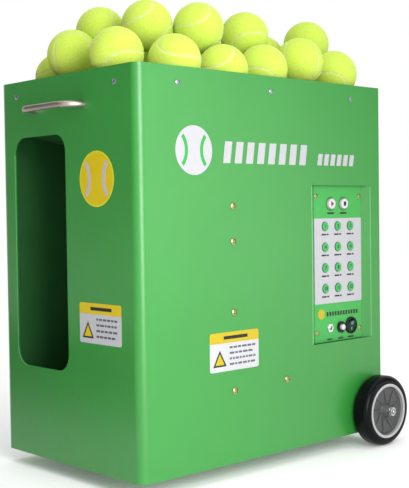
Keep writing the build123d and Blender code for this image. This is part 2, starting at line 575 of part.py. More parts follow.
def drop_chute():
    """Square drop tube under the feed hole, then a sloping open channel to the head, on two legs."""
    half, t = CHUTE_HALF, CHUTE_T
    front, hood, rear = CHUTE_FRONT_Y, DROP_Y - half, DROP_Y + half
    top = FEED_FLOOR_Z - FEED_FLOOR_T
    left = HEAD_X - half

    def under(y):
        return chute_floor(y) - t

    floor = [(front, under(front)), (rear, under(rear))]
    floor += [(y, chute_floor(y)) for y in (rear, front)]
    channel = [(front, under(front)), (hood, under(hood)), (hood, CHUTE_WALL_Z[1]), (front, CHUTE_WALL_Z[0])]
    tube = [(hood, under(hood)), (rear, under(rear)), (rear, top), (hood, top)]
    sheets = [side_plate(floor, left, 2 * half)]
    for x in (left - t, left + 2 * half):
        sheets += [side_plate(channel, x, t), side_plate(tube, x, t)]
    across = (left - t, left + 2 * half + t)
    sheets.append(block(across, (rear, rear + t), (under(rear), top)))
    sheets.append(block((left, left + 2 * half), (hood, hood + t), (CHUTE_ROOF_Z - t, top)))
    for y in CHUTE_LEG_Y:
        foot_top = BOTTOM + 2 * SHEET
        post = [(y - 6, foot_top), (y + 6, foot_top), (y + 6, under(y + 6)), (y - 6, under(y - 6))]
        sheets.append(side_plate(post, HEAD_X - 6, 12))
        sheets.append(block((HEAD_X - 16, HEAD_X + 16), (y - 16, y + 16), (BOTTOM + SHEET, foot_top)))
    return group(sheets)


# ---------------------------------------------------------------- turning yoke
def kingpin():
    base, top = BOTTOM + SHEET, YOKE_FLOOR_Z - 0.3
    pin = rod_z(HEAD_X, TURN_Y, (base, base + 5), 20) + rod_z(HEAD_X, TURN_Y, (base, top), KINGPIN_COLLAR_R)
    return pin + rod_z(HEAD_X, TURN_Y, (base, YOKE_FLOOR_Z + 16), KINGPIN_R)


def yoke_outline(arm_end):
    """Upright behind the wheels, then an arm forward to the trunnion and beyond."""
    arm_low, arm_high = NIP_Z - 12.5, NIP_Z + 12.5
    outline = [(-55, YOKE_FLOOR_Z), (-32, YOKE_FLOOR_Z), (-32, arm_high)]
    if arm_end:
        ear_y, ear_z = TILT_PINION_Y, TILT_PINION_Z
        outline += [(-99, arm_high), (ear_y + 16, ear_z + 17)]
        outline += [(ear_y - 18, ear_z + 17), (ear_y - 18, ear_z - 17)]
    else:
        outline += [(-99, arm_high)]
    return outline + [(-99, arm_low), (-55, arm_low)]


def yaw_frame():
    """Floor plate with a hub on the kingpin and two uprights that carry the tilting head."""
    x_low, x_high = HEAD_X - YOKE_X - YOKE_T, HEAD_X + YOKE_X + YOKE_T
    frame = block((x_low, x_high), (-165, -32), (YOKE_FLOOR_Z, YOKE_FLOOR_Z + YOKE_FLOOR_T))
    frame += rod_z(HEAD_X, TURN_Y, (YOKE_FLOOR_Z, YOKE_FLOOR_Z + 12), KINGPIN_COLLAR_R)
    frame += side_plate(yoke_outline(False), x_low, YOKE_T)
    frame += side_plate(yoke_outline(True), x_high - YOKE_T, YOKE_T)
    frame -= rod_z(HEAD_X, TURN_Y, (YOKE_FLOOR_Z - 1, YOKE_FLOOR_Z + 13), KINGPIN_R + FIT)
    frame -= rod_x((x_low - 1, x_high + 1), NIP_Y, NIP_Z, TRUNNION_R + FIT)
    return frame - rod_x((x_high - YOKE_T - 1, x_high + 1), TILT_PINION_Y, TILT_PINION_Z, 4)


def yaw_sector():
    low = YOKE_FLOOR_Z + YOKE_FLOOR_T
    sector = extrude(Pos(HEAD_X, TURN_Y, low) * sector_face(TURN_TEETH, -26, 26, 0), GEAR_T)
    return sector - rod_z(HEAD_X, TURN_Y, (low - 1, low + 20), KINGPIN_COLLAR_R)


def yaw_pinion():
    low = YOKE_FLOOR_Z + YOKE_FLOOR_T
    face = gear_face(PINION_TEETH, 180 + 180 / PINION_TEETH)
    pinion = extrude(Pos(TURN_PINION_X, TURN_Y, low) * face, GEAR_T)
    return pinion + rod_z(TURN_PINION_X, TURN_Y, (YOKE_FLOOR_Z - 12, low + 1), PINION_SHAFT_R)


def yaw_gearmotor():
    top = YOKE_FLOOR_Z - 4
    can = rod_z(TURN_PINION_X, TURN_Y, (BOTTOM + SHEET, top), MOTOR_R + 1)
    can += block((TURN_PINION_X, TURN_PINION_X + 60), (TURN_Y - 12, TURN_Y + 12), (BOTTOM + SHEET, top - 2))
    return can - rod_z(TURN_PINION_X, TURN_Y, (YOKE_FLOOR_Z - 13, top + 1), PINION_SHAFT_R + FIT)


def feed_tray():
    """Short tray between the uprights, with two rails that lead the ball to the middle."""
    top = NIP_Z - BALL_R - TRAY_DROP
    tray = block((HEAD_X - YOKE_X, HEAD_X + YOKE_X), (-45, -33), (top - 2, top))
    for side in (-1, 1):
        rail = [(HEAD_X + side * v, y) for v, y in ((54, -33), (39, -62), (37, -62), (52, -33))]
        tray += extrude(Pos(0, 0, top - 2) * make_face(Polyline(*rail, close=True)), 24)
    return tray


def tilt_gearmotor():
    x = HEAD_X + YOKE_X + YOKE_T
    can = rod_x((x, x + GEARMOTOR_L), TILT_PINION_Y, TILT_PINION_Z, GEARMOTOR_R)
    return can - rod_x((x - 1, x + 9), TILT_PINION_Y, TILT_PINION_Z, PINION_SHAFT_R + FIT)


# ---------------------------------------------------------------- tilting head
def cheek(x, shaft_hole_r):
    bar = Pos(NIP_Y, NIP_Z) * SlotOverall(2 * THROW_OFFSET + 36, 36, rotation=90)
    arms = [Pos(NIP_Y - 32, NIP_Z + s * 45) * SlotOverall(72, 16) for s in (-1, 1)]
    plate = extrude(side_plane(x) * (bar + arms), CHEEK_T)
    for s in (-1, 1):
        plate -= rod_x((x - 1, x + CHEEK_T + 1), NIP_Y, NIP_Z + s * THROW_OFFSET, shaft_hole_r)
    return plate


def pitch_frame():
    """Two cheek plates, two cross bars ahead of the wheels, and the trunnion pins."""
    left, right = HEAD_X - CHEEK_X - CHEEK_T, HEAD_X + CHEEK_X
    frame = cheek(left, SHAFT_R + FIT) + cheek(right, SHAFT_R + 2)
    for s in (-1, 1):
        frame += rod_x((left, right + CHEEK_T), NIP_Y - 60, NIP_Z + s * 45, 5)
    frame += rod_x((left - 17, left + 1), NIP_Y, NIP_Z, TRUNNION_R)
    return frame + rod_x((right + CHEEK_T - 1, right + CHEEK_T + 17), NIP_Y, NIP_Z, TRUNNION_R)


def pitch_sector():
    x = HEAD_X + CHEEK_X + CHEEK_T
    face = sector_face(TILT_TEETH, TILT_PINION_ANGLE - 9, TILT_PINION_ANGLE + 49, TILT_PINION_ANGLE)
    sector = extrude(side_plane(x) * (Pos(NIP_Y, NIP_Z) * face), GEAR_T)
    return sector - rod_x((x - 1, x + 10), NIP_Y, NIP_Z, TRUNNION_R)


def pitch_pinion():
    x = HEAD_X + CHEEK_X + CHEEK_T + 0.5
    turn = TILT_PINION_ANGLE + 180 + 180 / PINION_TEETH
    face = Pos(TILT_PINION_Y, TILT_PINION_Z) * gear_face(PINION_TEETH, turn)
    pinion = extrude(side_plane(x) * face, GEAR_T)
    shaft_end = HEAD_X + YOKE_X + YOKE_T + 8
    return pinion + rod_x((x, shaft_end), TILT_PINION_Y, TILT_PINION_Z, PINION_SHAFT_R)


def throw_motors():
    x = HEAD_X + CHEEK_X + CHEEK_T
    motors = []
    for s in (-1, 1):
        z = NIP_Z + s * THROW_OFFSET
        can = rod_x((x, x + MOTOR_L), NIP_Y, z, MOTOR_R)
        can = fillet(can.edges().filter_by(GeomType.CIRCLE).sort_by(Axis.X)[-1], 2)
        motors.append(can - rod_x((x - 1, x + 11), NIP_Y, z, SHAFT_R + FIT))
    return group(motors)


def throw_tyre(z):
    tyre = ring_x((HEAD_X - THROW_W / 2, HEAD_X + THROW_W / 2), NIP_Y, z, THROW_R, HUB_R)
    return fillet(tyre.edges().filter_by(GeomType.CIRCLE).sort_by(lambda e: e.radius)[-2:], 3)


def throw_hub(z):
    """Drum with a shallow recess on each side, on a shaft from the left cheek into the motor."""
    half, recess = THROW_W / 2 - 1, 3.5
    hub = rod_x((HEAD_X - half, HEAD_X + half), NIP_Y, z, HUB_R)
    for x in ((HEAD_X - half - 1, HEAD_X - half + recess), (HEAD_X + half - recess, HEAD_X + half + 1)):
        hub -= ring_x(x, NIP_Y, z, HUB_R - 4, 11)
    return hub + rod_x((HEAD_X - CHEEK_X - CHEEK_T - 3, HEAD_X + CHEEK_X + CHEEK_T + 10), NIP_Y, z, SHAFT_R)


# ---------------------------------------------------------------- balls
def funnel_planes():
    """(point, upward unit normal) of every funnel sheet."""
    planes = []
    for outline in funnel_outlines():
        a, b, c = [Vector(*point) for point in outline[:3]]
        normal = (b - a).cross(c - a).normalized()
        planes.append((a, normal if normal.Z > 0 else -normal))
    return planes


# The heap's outer balls stay where they are given: the row against the right wall, the front edge, the crest.
HEAP = [(106.5, -132, 523.5), (106.5, -50, 518.5), (106.5, 25, 525.5), (106.5, 98, 541.5)]
HEAP += [(106.5, 171, 530.5), (66, -190, 531.5), (-42, -178, 543.5), (-106.5, -154, 522.5)]
HEAP += [(-55, -122, 581.5), (35, -115.5, 578), (70, -57.5, 576.5), (60, 38, 576.5), (50, 177, 580.5)]
# The others fill the hopper under them and find their own room.
FILL = [(0, 135, 561.5), (-15, -45, 557.5), (-15, 25, 557.5)]
FILL += [(-106, -85 + 69 * k, 524.5) for k in range(5)]
FILL += [(x, -166 + 72 * k, 477.5) for x in (-72, 0, 72) for k in range(6) if (x, k) != (72, 0)]
FILL += [(79 * cos(radians(60 * k)), FEED_Y + 79 * sin(radians(60 * k)), 435.5) for k in range(6)]


def settled(fixed, loose):
    """Push the loose balls apart, and off the fixed ones, until each has its own room in the hopper."""
    gap = 2 * BALL_R + 0.2
    side, front = INNER_X - SHEET - BALL_R - 1, FRONT_IN + SHEET + BALL_R + 1
    rear = REAR_IN - 2 * SHEET - BALL_R - 1
    lowest = FEED_FLOOR_Z + 1 + ROTOR_T + BALL_R + 0.3
    planes = [(tuple(point), tuple(normal)) for point, normal in funnel_planes()]
    balls = [list(place) for place in fixed + loose]
    for _ in range(900):
        for i in range(len(fixed), len(balls)):
            a = balls[i]
            for j, b in enumerate(balls[:i]):
                delta = [p - q for p, q in zip(a, b)]
                distance = sqrt(sum(d * d for d in delta))
                if distance < gap:
                    share = 1.0 if j < len(fixed) else 0.5
                    push = (gap - distance) / distance
                    a[:] = [p + d * push * share for p, d in zip(a, delta)]
                    b[:] = [p - d * push * (1 - share) for p, d in zip(b, delta)]
            a[0] = min(max(a[0], -side), side)
            a[1] = min(max(a[1], front), rear)
            a[2] = max(a[2], lowest)
            for point, normal in planes:
                short = BALL_R + 0.3 - sum((p - q) * n for p, q, n in zip(a, point, normal))
                if short > 0:
                    a[:] = [p + n * short for p, n in zip(a, normal)]
    return balls


def tennis_balls():
    return group([Pos(*place) * Sphere(BALL_R) for place in settled(HEAP, FILL)])


# ---------------------------------------------------------------- write the parts
def all_parts():
    parts = {
        "outer_shell": outer_shell(), "rear_panel": rear_panel(), "base_plate": base_plate(),
        "hopper": hopper(), "cabinet_screws": cabinet_screws(), "frame_bolts": frame_bolts(),
        "side_brackets": side_brackets(), "carry_handle": carry_handle(), "wheel_axle": wheel_axle(),
        "axle_caps": axle_caps(), "front_feet": front_feet(), "control_panel": control_panel(),
        "keypad_overlay": keypad_overlay(), "panel_screws": panel_screws(), "control_board": control_board(),
        "charge_jack": charge_jack(), "breaker_body": breaker_body(), "breaker_plunger": breaker_plunger(),
        "power_bezel": power_bezel(), "power_rocker": power_rocker(),
        "battery": battery(), "battery_strap": battery_strap(), "feed_bowl": feed_bowl(),
        "feed_rotor": feed_rotor(), "feed_gearmotor": feed_gearmotor(), "drop_chute": drop_chute(),
        "kingpin": kingpin(), "yaw_frame": yaw_frame(), "yaw_sector": yaw_sector(),
        "yaw_pinion": yaw_pinion(), "yaw_gearmotor": yaw_gearmotor(), "feed_tray": feed_tray(),
        "tilt_gearmotor": tilt_gearmotor(), "pitch_frame": pitch_frame(), "pitch_sector": pitch_sector(),
        "pitch_pinion": pitch_pinion(), "throw_motors": throw_motors(), "tennis_balls": tennis_balls(),
        "start_button": key(*START_YZ, ROUND_BUTTON_R, ROUND_BUTTON_REACH),
        "stop_button": key(*STOP_YZ, ROUND_BUTTON_R, ROUND_BUTTON_REACH),
    }
    for name, s in (("upper", 1), ("lower", -1)):
        parts[f"{name}_throw_tyre"] = throw_tyre(NIP_Z + s * THROW_OFFSET)
        parts[f"{name}_throw_hub"] = throw_hub(NIP_Z + s * THROW_OFFSET)
    tyre, hub = road_tyre(), road_hub()
    parts.update(right_road_tyre=tyre, right_road_hub=hub, left_road_tyre=mirror_x(tyre),
                 left_road_hub=mirror_x(hub))
    number = 0
    for z in KEY_ROWS:
        for y in KEY_COLUMNS:
            number += 1
            parts[f"key_{number:02d}"] = key(y, z, KEY_R, KEY_REACH)
    return parts


os.makedirs("parts", exist_ok=True)
for node, shape in all_parts().items():
    export_step(shape, f"parts/{node}.step")
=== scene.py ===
"""Looks of the tennis ball machine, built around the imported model. Metres, +Z up, -Y is the outlet side."""
import bmesh
import bpy
import math
import numpy as np
import random
from mathutils import Matrix, Vector


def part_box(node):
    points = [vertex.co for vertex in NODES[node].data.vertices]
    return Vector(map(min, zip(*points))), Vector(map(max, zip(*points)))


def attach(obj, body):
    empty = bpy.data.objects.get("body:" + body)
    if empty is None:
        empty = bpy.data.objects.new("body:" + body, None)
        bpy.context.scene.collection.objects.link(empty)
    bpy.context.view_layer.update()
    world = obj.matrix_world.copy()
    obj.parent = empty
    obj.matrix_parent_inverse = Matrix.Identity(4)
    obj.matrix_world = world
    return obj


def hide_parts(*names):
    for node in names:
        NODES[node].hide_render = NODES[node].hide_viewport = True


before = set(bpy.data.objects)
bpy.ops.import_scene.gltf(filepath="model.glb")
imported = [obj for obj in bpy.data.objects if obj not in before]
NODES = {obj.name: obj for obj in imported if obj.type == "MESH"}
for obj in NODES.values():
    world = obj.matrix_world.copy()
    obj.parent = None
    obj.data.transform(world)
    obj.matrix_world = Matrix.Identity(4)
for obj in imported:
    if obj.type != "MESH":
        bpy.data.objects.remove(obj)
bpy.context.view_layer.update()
MM = 0.001
random.seed(7)


# ------------------------------------------------------------------ materials
class Surface:
    """A Principled material whose colour, roughness and bump are driven by noise in object space."""

    def __init__(self, name, color, roughness=0.5, metallic=0.0, **sockets):
        self.material = bpy.data.materials.new(name)
        self.material.use_nodes = True
        self.tree = self.material.node_tree
        self.shader = self.tree.nodes["Principled BSDF"]
        self.coords = self.add("ShaderNodeTexCoord").outputs["Object"]
        self.shader.inputs["Base Color"].default_value = (*color, 1)
        self.shader.inputs["Roughness"].default_value = roughness
        self.shader.inputs["Metallic"].default_value = metallic
        for socket, value in sockets.items():
            self.shader.inputs[socket.replace("_", " ")].default_value = value
        self.color, self.roughness = color, roughness

    def add(self, kind, **inputs):
        node = self.tree.nodes.new(kind)
        for socket, value in inputs.items():
            node.inputs[socket].default_value = value
        return node

    def link(self, source, target):
        self.tree.links.new(source, target)

    def noise(self, scale, detail=3.0, rough=0.55, stretch=None):
        """Noise factor; stretch squeezes the pattern along the axes, for brushed metal."""
        source = self.coords
        if stretch:
            mapping = self.add("ShaderNodeMapping")
            mapping.inputs["Scale"].default_value = stretch
            self.link(source, mapping.inputs["Vector"])
            source = mapping.outputs["Vector"]
        node = self.add("ShaderNodeTexNoise", Scale=scale, Detail=detail, Roughness=rough)
        self.link(source, node.inputs["Vector"])
        return node.outputs["Fac"]

    def span(self, factor, low, high, out_low, out_high):
        node = self.add("ShaderNodeMapRange")
        for end, source, target in (("Min", low, out_low), ("Max", high, out_high)):
            node.inputs[f"From {end}"].default_value = source
            node.inputs[f"To {end}"].default_value = target
        self.link(factor, node.inputs["Value"])
        return node.outputs["Result"]

    def mix(self, factor, first, second):
        node = self.add("ShaderNodeMix")
        node.data_type = "RGBA"
        for socket, value in ((node.inputs["A"], first), (node.inputs["B"], second)):
            if isinstance(value, tuple):
                socket.default_value = (*value, 1)
            else:
                self.link(value, socket)
        self.link(factor, node.inputs["Factor"])
        return node.outputs["Result"]

    def vary_color(self, scale, amount, **kw):
        """Lets the base colour drift by amount either way."""
        dark = tuple(c * (1 - amount) for c in self.color)
        light = tuple(min(1.0, c * (1 + amount)) for c in self.color)
        result = self.mix(self.span(self.noise(scale, **kw), 0.3, 0.7, 0, 1), dark, light)
        self.link(result, self.shader.inputs["Base Color"])
        return result

    def vary_roughness(self, scale, amount, **kw):
        low, high = self.roughness - amount, self.roughness + amount
        self.link(self.span(self.noise(scale, **kw), 0.3, 0.7, low, high), self.shader.inputs["Roughness"])

    def bump(self, scale, distance, strength=1.0, **kw):
        node = self.add("ShaderNodeBump", Distance=distance, Strength=strength)
        self.link(self.noise(scale, **kw), node.inputs["Height"])
        previous = self.shader.inputs["Normal"].links
        if previous:
            self.link(previous[0].from_socket, node.inputs["Normal"])
        self.link(node.outputs["Normal"], self.shader.inputs["Normal"])


def paint(name, color, roughness=0.38):
    """Powder coat: orange-peel bump and a slightly uneven gloss."""
    s = Surface(name, color, roughness, Coat_Weight=0.22, Coat_Roughness=0.25, Specular_IOR_Level=0.5)
    s.vary_color(9, 0.03)
    s.vary_roughness(60, 0.04)
    s.bump(700, 0.00006, 0.5)
    return s


def brushed(name, color, roughness, stretch):
    s = Surface(name, color, roughness, metallic=1.0)
    s.vary_color(300, 0.10, stretch=stretch)
    s.vary_roughness(400, 0.08, stretch=stretch)
    s.bump(900, 0.00003, 0.5, stretch=stretch)
    return s


def plain_metal(name, color, roughness):
    s = Surface(name, color, roughness, metallic=1.0)
    s.vary_color(120, 0.06)
    s.vary_roughness(250, 0.07)
    s.bump(500, 0.00003, 0.4)
    return s


def plastic(name, color, roughness, grain=0.00004, shine=0.5):
    s = Surface(name, color, roughness, Specular_IOR_Level=shine)
    s.vary_color(30, 0.04)
    s.vary_roughness(120, 0.05)
    s.bump(1400, grain, 0.5)
    return s


def printed(name, color, roughness=0.35):
    s = Surface(name, color, roughness, Specular_IOR_Level=0.3)
    s.vary_color(80, 0.02)
    s.bump(1800, 0.00001, 0.3)
    return s


GREEN = (0.024, 0.220, 0.030)


def felt():
    """Wool felt: mottled nap, soft sheen, and a pale seam where the mesh says so."""
    s = Surface("felt", (0.47, 0.62, 0.085), 0.95, Sheen_Weight=0.35, Sheen_Roughness=0.45,
                Sheen_Tint=(0.85, 1.0, 0.35, 1))
    nap = s.mix(s.span(s.noise(420, 6, 0.7), 0.3, 0.72, 0, 1), (0.395, 0.55, 0.045), (0.53, 0.69, 0.092))
    blush = s.mix(s.span(s.noise(26, 2), 0.35, 0.7, 0, 0.5), nap, (0.50, 0.62, 0.07))
    seam = s.add("ShaderNodeAttribute")
    seam.attribute_name = "seam"
    rubber = s.mix(s.span(s.noise(500, 3), 0.3, 0.7, 0, 1), (0.44, 0.53, 0.13), (0.56, 0.62, 0.24))
    s.link(s.mix(seam.outputs["Fac"], blush, rubber), s.shader.inputs["Base Color"])
    s.bump(900, 0.00055, 0.55, detail=6, rough=0.7)
    s.bump(230, 0.0005, 0.3, detail=3)
    return s


M = {
    "green": paint("green", GREEN),
    # painted shade: a darker green for the cabinet's inner faces, the hopper and the feed bowl, standing in
    # for the shade inside
    "painted_shade_inside": plastic("painted_shade_inside", (0.020, 0.105, 0.026), 0.60, shine=0.15),
    "panel_green": paint("panel_green", (0.024, 0.31, 0.042), 0.42),
    "inner_green": paint("inner_green", GREEN, 0.45),
    # painted highlight: a pale green for the strips that stand in for light caught on sheet edges
    "painted_edge_highlight": paint("painted_edge_highlight", (0.16, 0.46, 0.18), 0.35),
    "black_paint": paint("black_paint", (0.008, 0.010, 0.009), 0.5),
    "zinc": plain_metal("zinc", (0.34, 0.37, 0.43), 0.30),
    "yellow_zinc": plain_metal("yellow_zinc", (0.42, 0.40, 0.20), 0.28),
    "nickel": brushed("nickel", (0.40, 0.34, 0.30), 0.42, (0.05, 1, 1)),
    "steel": plain_metal("steel", (0.52, 0.53, 0.54), 0.35),
    "aluminium": plain_metal("aluminium", (0.70, 0.71, 0.72), 0.38),
    "chrome": plain_metal("chrome", (0.80, 0.80, 0.80), 0.10),
    "nut_steel": plain_metal("nut_steel", (0.34, 0.34, 0.33), 0.20),
    "gear_brass": plain_metal("gear_brass", (0.66, 0.50, 0.22), 0.32),
    "foot_rubber": plastic("foot_rubber", (0.012, 0.012, 0.012), 0.75, 0.0001),
    "tyre": plastic("tyre", (0.003, 0.003, 0.004), 0.24, 0.00003, 0.11),
    "whitewall": plastic("whitewall", (0.36, 0.35, 0.36), 0.40),
    "hub_grey": plastic("hub_grey", (0.046, 0.046, 0.048), 0.42, 0.00008),
    # painted highlight: a lighter copy of the hub's grey for its ribs, standing in for the light they catch
    "painted_lit_rib_grey": plastic("painted_lit_rib_grey", (0.085, 0.085, 0.088), 0.38, 0.00008),
    "urethane": plastic("urethane", (0.02, 0.02, 0.022), 0.6, 0.0002),
    "film": printed("film", (0.40, 0.395, 0.42), 0.40),
    "white_print": printed("white_print", (0.39, 0.385, 0.41)),
    "label_print": printed("label_print", (0.44, 0.44, 0.46)),
    "pale_print": printed("pale_print", (0.42, 0.39, 0.46)),
    "dark_print": printed("dark_print", (0.010, 0.011, 0.012)),
    "grey_print": printed("grey_print", (0.085, 0.085, 0.10)),
    "yellow_print": printed("yellow_print", (0.42, 0.32, 0.006)),
    "gold_print": printed("gold_print", (0.56, 0.42, 0.004)),
    "lime_print": printed("lime_print", (0.55, 0.55, 0.02)),
    "red_print": printed("red_print", (0.20, 0.004, 0.03)),
    "green_print": printed("green_print", (0.02, 0.30, 0.05)),
    "cyan_print": printed("cyan_print", (0.22, 0.55, 0.48)),
    "key_print": printed("key_print", (0.040, 0.33, 0.080)),
    "key_green": plastic("key_green", (0.008, 0.075, 0.022), 0.40, shine=0.15),
    "key_white": plastic("key_white", (0.50, 0.48, 0.50), 0.28),
    "black_plastic": plastic("black_plastic", (0.006, 0.009, 0.008), 0.25, shine=0.2),
    "smoked_green": plastic("smoked_green", (0.001, 0.014, 0.009), 0.12, 0.00001, 0.2),
    "board": plastic("board", (0.01, 0.10, 0.04), 0.4),
    "battery": plastic("battery", (0.02, 0.02, 0.024), 0.5, 0.0001),
    "nylon": plastic("nylon", (0.66, 0.65, 0.60), 0.5),
    "felt": felt(),
}


# ------------------------------------------------------------------ mesh tools
SIDE = Matrix(((0, 0, 1), (1, 0, 0), (0, 1, 0)))        # u along +Y, v along +Z, out along +X
FRONT = Matrix(((1, 0, 0), (0, 0, -1), (0, 1, 0)))      # u along +X, v along +Z, out along -Y
REAR = Matrix(((-1, 0, 0), (0, 0, 1), (0, 1, 0)))       # u along -X, v along +Z, out along +Y
BEVEL_ANGLE = math.radians(40)


def piece(name, bm, material, body, smooth_angle=35, bevel=0.0, replaces=()):
    """Turns a bmesh into an object that rides on a body."""
    bmesh.ops.remove_doubles(bm, verts=bm.verts, dist=1e-7)
    bmesh.ops.recalc_face_normals(bm, faces=bm.faces)
    mesh = bpy.data.meshes.new(name)
    bm.to_mesh(mesh)
    bm.free()
    return dress(bpy.data.objects.new(name, mesh), material, body, smooth_angle, bevel, replaces)


def dress(obj, material, body, smooth_angle=35, bevel=0.0, replaces=()):
    if obj.name not in bpy.context.scene.collection.objects:
        bpy.context.scene.collection.objects.link(obj)
    obj.data.materials.clear()
    obj.data.materials.append(M[material].material)
    if smooth_angle:
        obj.data.shade_smooth()
        obj.data.set_sharp_from_angle(angle=math.radians(smooth_angle))
    if bevel:
        cut = obj.modifiers.new("edges", "BEVEL")
        cut.width, cut.segments, cut.limit_method = bevel, 2, "ANGLE"
        cut.angle_limit = BEVEL_ANGLE
        cut.harden_normals = True
    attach(obj, body)
    if replaces:
        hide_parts(*replaces)
    return obj


def prism(bm, face, outline, low, high, origin=(0, 0, 0)):
    """Adds a plate with this (u, v) outline on a face, between two heights."""
    origin = Vector(origin)
    rings = [[bm.verts.new(origin + face @ Vector((u, v, w))) for u, v in outline] for w in (low, high)]
    bm.faces.new(rings[0])
    bm.faces.new(rings[1])
    for i in range(len(outline)):
        j = (i + 1) % len(outline)
        bm.faces.new((rings[0][i], rings[0][j], rings[1][j], rings[1][i]))


def band(bm, face, outer, inner, low, high, closed=True):
    """Adds a plate between two outlines of the same number of points."""
    rings = [[bm.verts.new(face @ Vector((u, v, w))) for u, v in line]
             for line, w in ((outer, low), (outer, high), (inner, high), (inner, low))]
    count = len(outer) if closed else len(outer) - 1
    for i in range(count):
        j = (i + 1) % len(outer)
        for a, b in zip(rings, rings[1:] + rings[:1]):
            bm.faces.new((a[i], a[j], b[j], b[i]))
    if not closed:
        for i in (0, -1):
            bm.faces.new([ring[i] for ring in rings])


def circle(u, v, r, steps=48, start=0.0, sweep=2 * math.pi, closed=True):
    count = steps if closed else steps + 1
    return [(u + r * math.cos(start + sweep * i / steps), v + r * math.sin(start + sweep * i / steps))
            for i in range(count)]


def rounded(u0, u1, v0, v1, r, steps=6):
    """Rectangle with round corners."""
    left, right, bottom, top = u0 + r, u1 - r, v0 + r, v1 - r
    points = []
    for cu, cv, start in ((right, top, 0), (left, top, 90), (left, bottom, 180), (right, bottom, 270)):
        points += circle(cu, cv, r, steps, math.radians(start), math.pi / 2, closed=False)
    return points


def rectangle(u0, u1, v0, v1):
    return [(u0, v0), (u1, v0), (u1, v1), (u0, v1)]


def lathe(bm, profile, origin, axis, steps=64):
    """Turns (along, radius) points about an axis; a radius of 0 closes the end."""
    origin, axis = Vector(origin), Vector(axis).normalized()
    side = axis.orthogonal().normalized()
    up = axis.cross(side)
    rings = []
    for along, r in profile:
        if r <= 1e-9:
            rings.append([bm.verts.new(origin + axis * along)])
            continue
        rings.append([bm.verts.new(origin + axis * along + (side * math.cos(a) + up * math.sin(a)) * r)
                      for a in (2 * math.pi * i / steps for i in range(steps))])
    for a, b in zip(rings, rings[1:]):
        for i in range(steps):
            j = (i + 1) % steps
            corners = [a[i % len(a)], a[j % len(a)], b[j % len(b)], b[i % len(b)]]
            unique = list(dict.fromkeys(corners))
            if len(unique) > 2:
                bm.faces.new(unique)


def arc(cx, cy, r, start, end, steps=6):
    """Points of an arc, for lathe profiles; angles in degrees."""
    return [(cx + r * math.cos(math.radians(a)), cy + r * math.sin(math.radians(a)))
            for a in (start + (end - start) * i / steps for i in range(steps + 1))]


def cad_islands(node):
    """Vertex coordinates of every separate solid in a CAD node."""
    mesh = NODES[node].data
    keys, group_of = {}, []
    for v in mesh.vertices:
        group_of.append(keys.setdefault(tuple(round(c, 6) for c in v.co), len(keys)))
    parent = list(range(len(keys)))

    def root(i):
        while parent[i] != i:
            parent[i] = parent[parent[i]]
            i = parent[i]
        return i

    for edge in mesh.edges:
        a, b = (root(group_of[i]) for i in edge.vertices)
        parent[a] = b
    islands = {}
    for point, index in keys.items():
        islands.setdefault(root(index), []).append(point)
    return [np.array(points) for points in islands.values()]


def sphere_centre(points):
    """Least-squares centre and radius of points on a sphere."""
    system = np.column_stack([2 * points, np.ones(len(points))])
    found = np.linalg.lstsq(system, (points ** 2).sum(1), rcond=None)[0]
    return Vector(found[:3]), math.sqrt(found[3] + (found[:3] ** 2).sum())


# ------------------------------------------------------------------ camera, light, floor
LENS, SENSOR = 75.75, 36.0
CAMERA_PLACE = (1.0639, -0.9737, 0.3397)
CAMERA_TURN = (-47.148, -1.926, -0.796)             # yaw from +Y, pitch and roll in degrees
FLOOR_R = 6.0
CARDS = (                                           # name, middle, what it faces, width and height, shade
    ("front_flag", (-0.75, -1.25, 0.85), (0, -0.1, 0.3), (2.2, 1.4), 0.12),
    ("low_flag", (-0.52, -0.44, 0.09), (-0.52, 0.0, 0.09), (0.95, 0.13), 0.02),
    ("rear_flag", (1.25, 1.75, 0.85), (0.145, 0.2, 0.3), (1.3, 1.4), 0.02),
)
LAMPS = (                                           # name, place, what it faces, size, watts, spread
    ("key", (1.00, -0.45, 0.50), (0.145, -0.38, 0.30), (0.5, 0.8), 4.8, 110),
    ("corner", (1.30, -0.75, 0.60), (0.145, -0.2, 0.30), (0.6, 0.9), 1.8, 180),
    ("sheen", (1.75, 1.35, 0.6), (0.145, -0.1, 0.3), (1.1, 1.1), 7, 180),
    ("top", (0.2, 0.0, 2.4), (0, 0, 0.3), (1.6, 1.6), 8, 180),
)


def camera():
    data = bpy.data.cameras.new("camera")
    data.lens, data.sensor_width = LENS, SENSOR
    yaw, pitch, roll = (math.radians(a) for a in CAMERA_TURN)
    forward = Vector((math.sin(yaw) * math.cos(pitch), math.cos(yaw) * math.cos(pitch), math.sin(pitch)))
    right = forward.cross(Vector((0, 0, 1))).normalized()
    up = right.cross(forward)
    tilted_right = math.cos(roll) * right + math.sin(roll) * up
    tilted_up = -math.sin(roll) * right + math.cos(roll) * up
    turn = Matrix((tilted_right, tilted_up, -forward)).transposed()
    obj = bpy.data.objects.new("camera", data)
    obj.matrix_world = Matrix.Translation(CAMERA_PLACE) @ turn.to_4x4()
    bpy.context.scene.collection.objects.link(obj)
    bpy.context.scene.camera = obj


def area_light(name, place, target, size, power, spread):
    data = bpy.data.lights.new(name, "AREA")
    data.shape, data.size, data.size_y = "RECTANGLE", size[0], size[1]
    data.energy, data.spread = power, math.radians(spread)
    obj = bpy.data.objects.new(name, data)
    obj.location = place
    obj.rotation_euler = (Vector(target) - Vector(place)).to_track_quat("-Z", "Y").to_euler()
    bpy.context.scene.collection.objects.link(obj)


def stage_piece(name, bm, surface):
    """Makes a mesh into part of the room, not of the machine."""
    mesh = bpy.data.meshes.new(name)
    bm.to_mesh(mesh)
    bm.free()
    surface.vary_color(3, 0.01)
    mesh.materials.append(surface.material)
    obj = bpy.data.objects.new(name, mesh)
    bpy.context.scene.collection.objects.link(obj)
    return obj


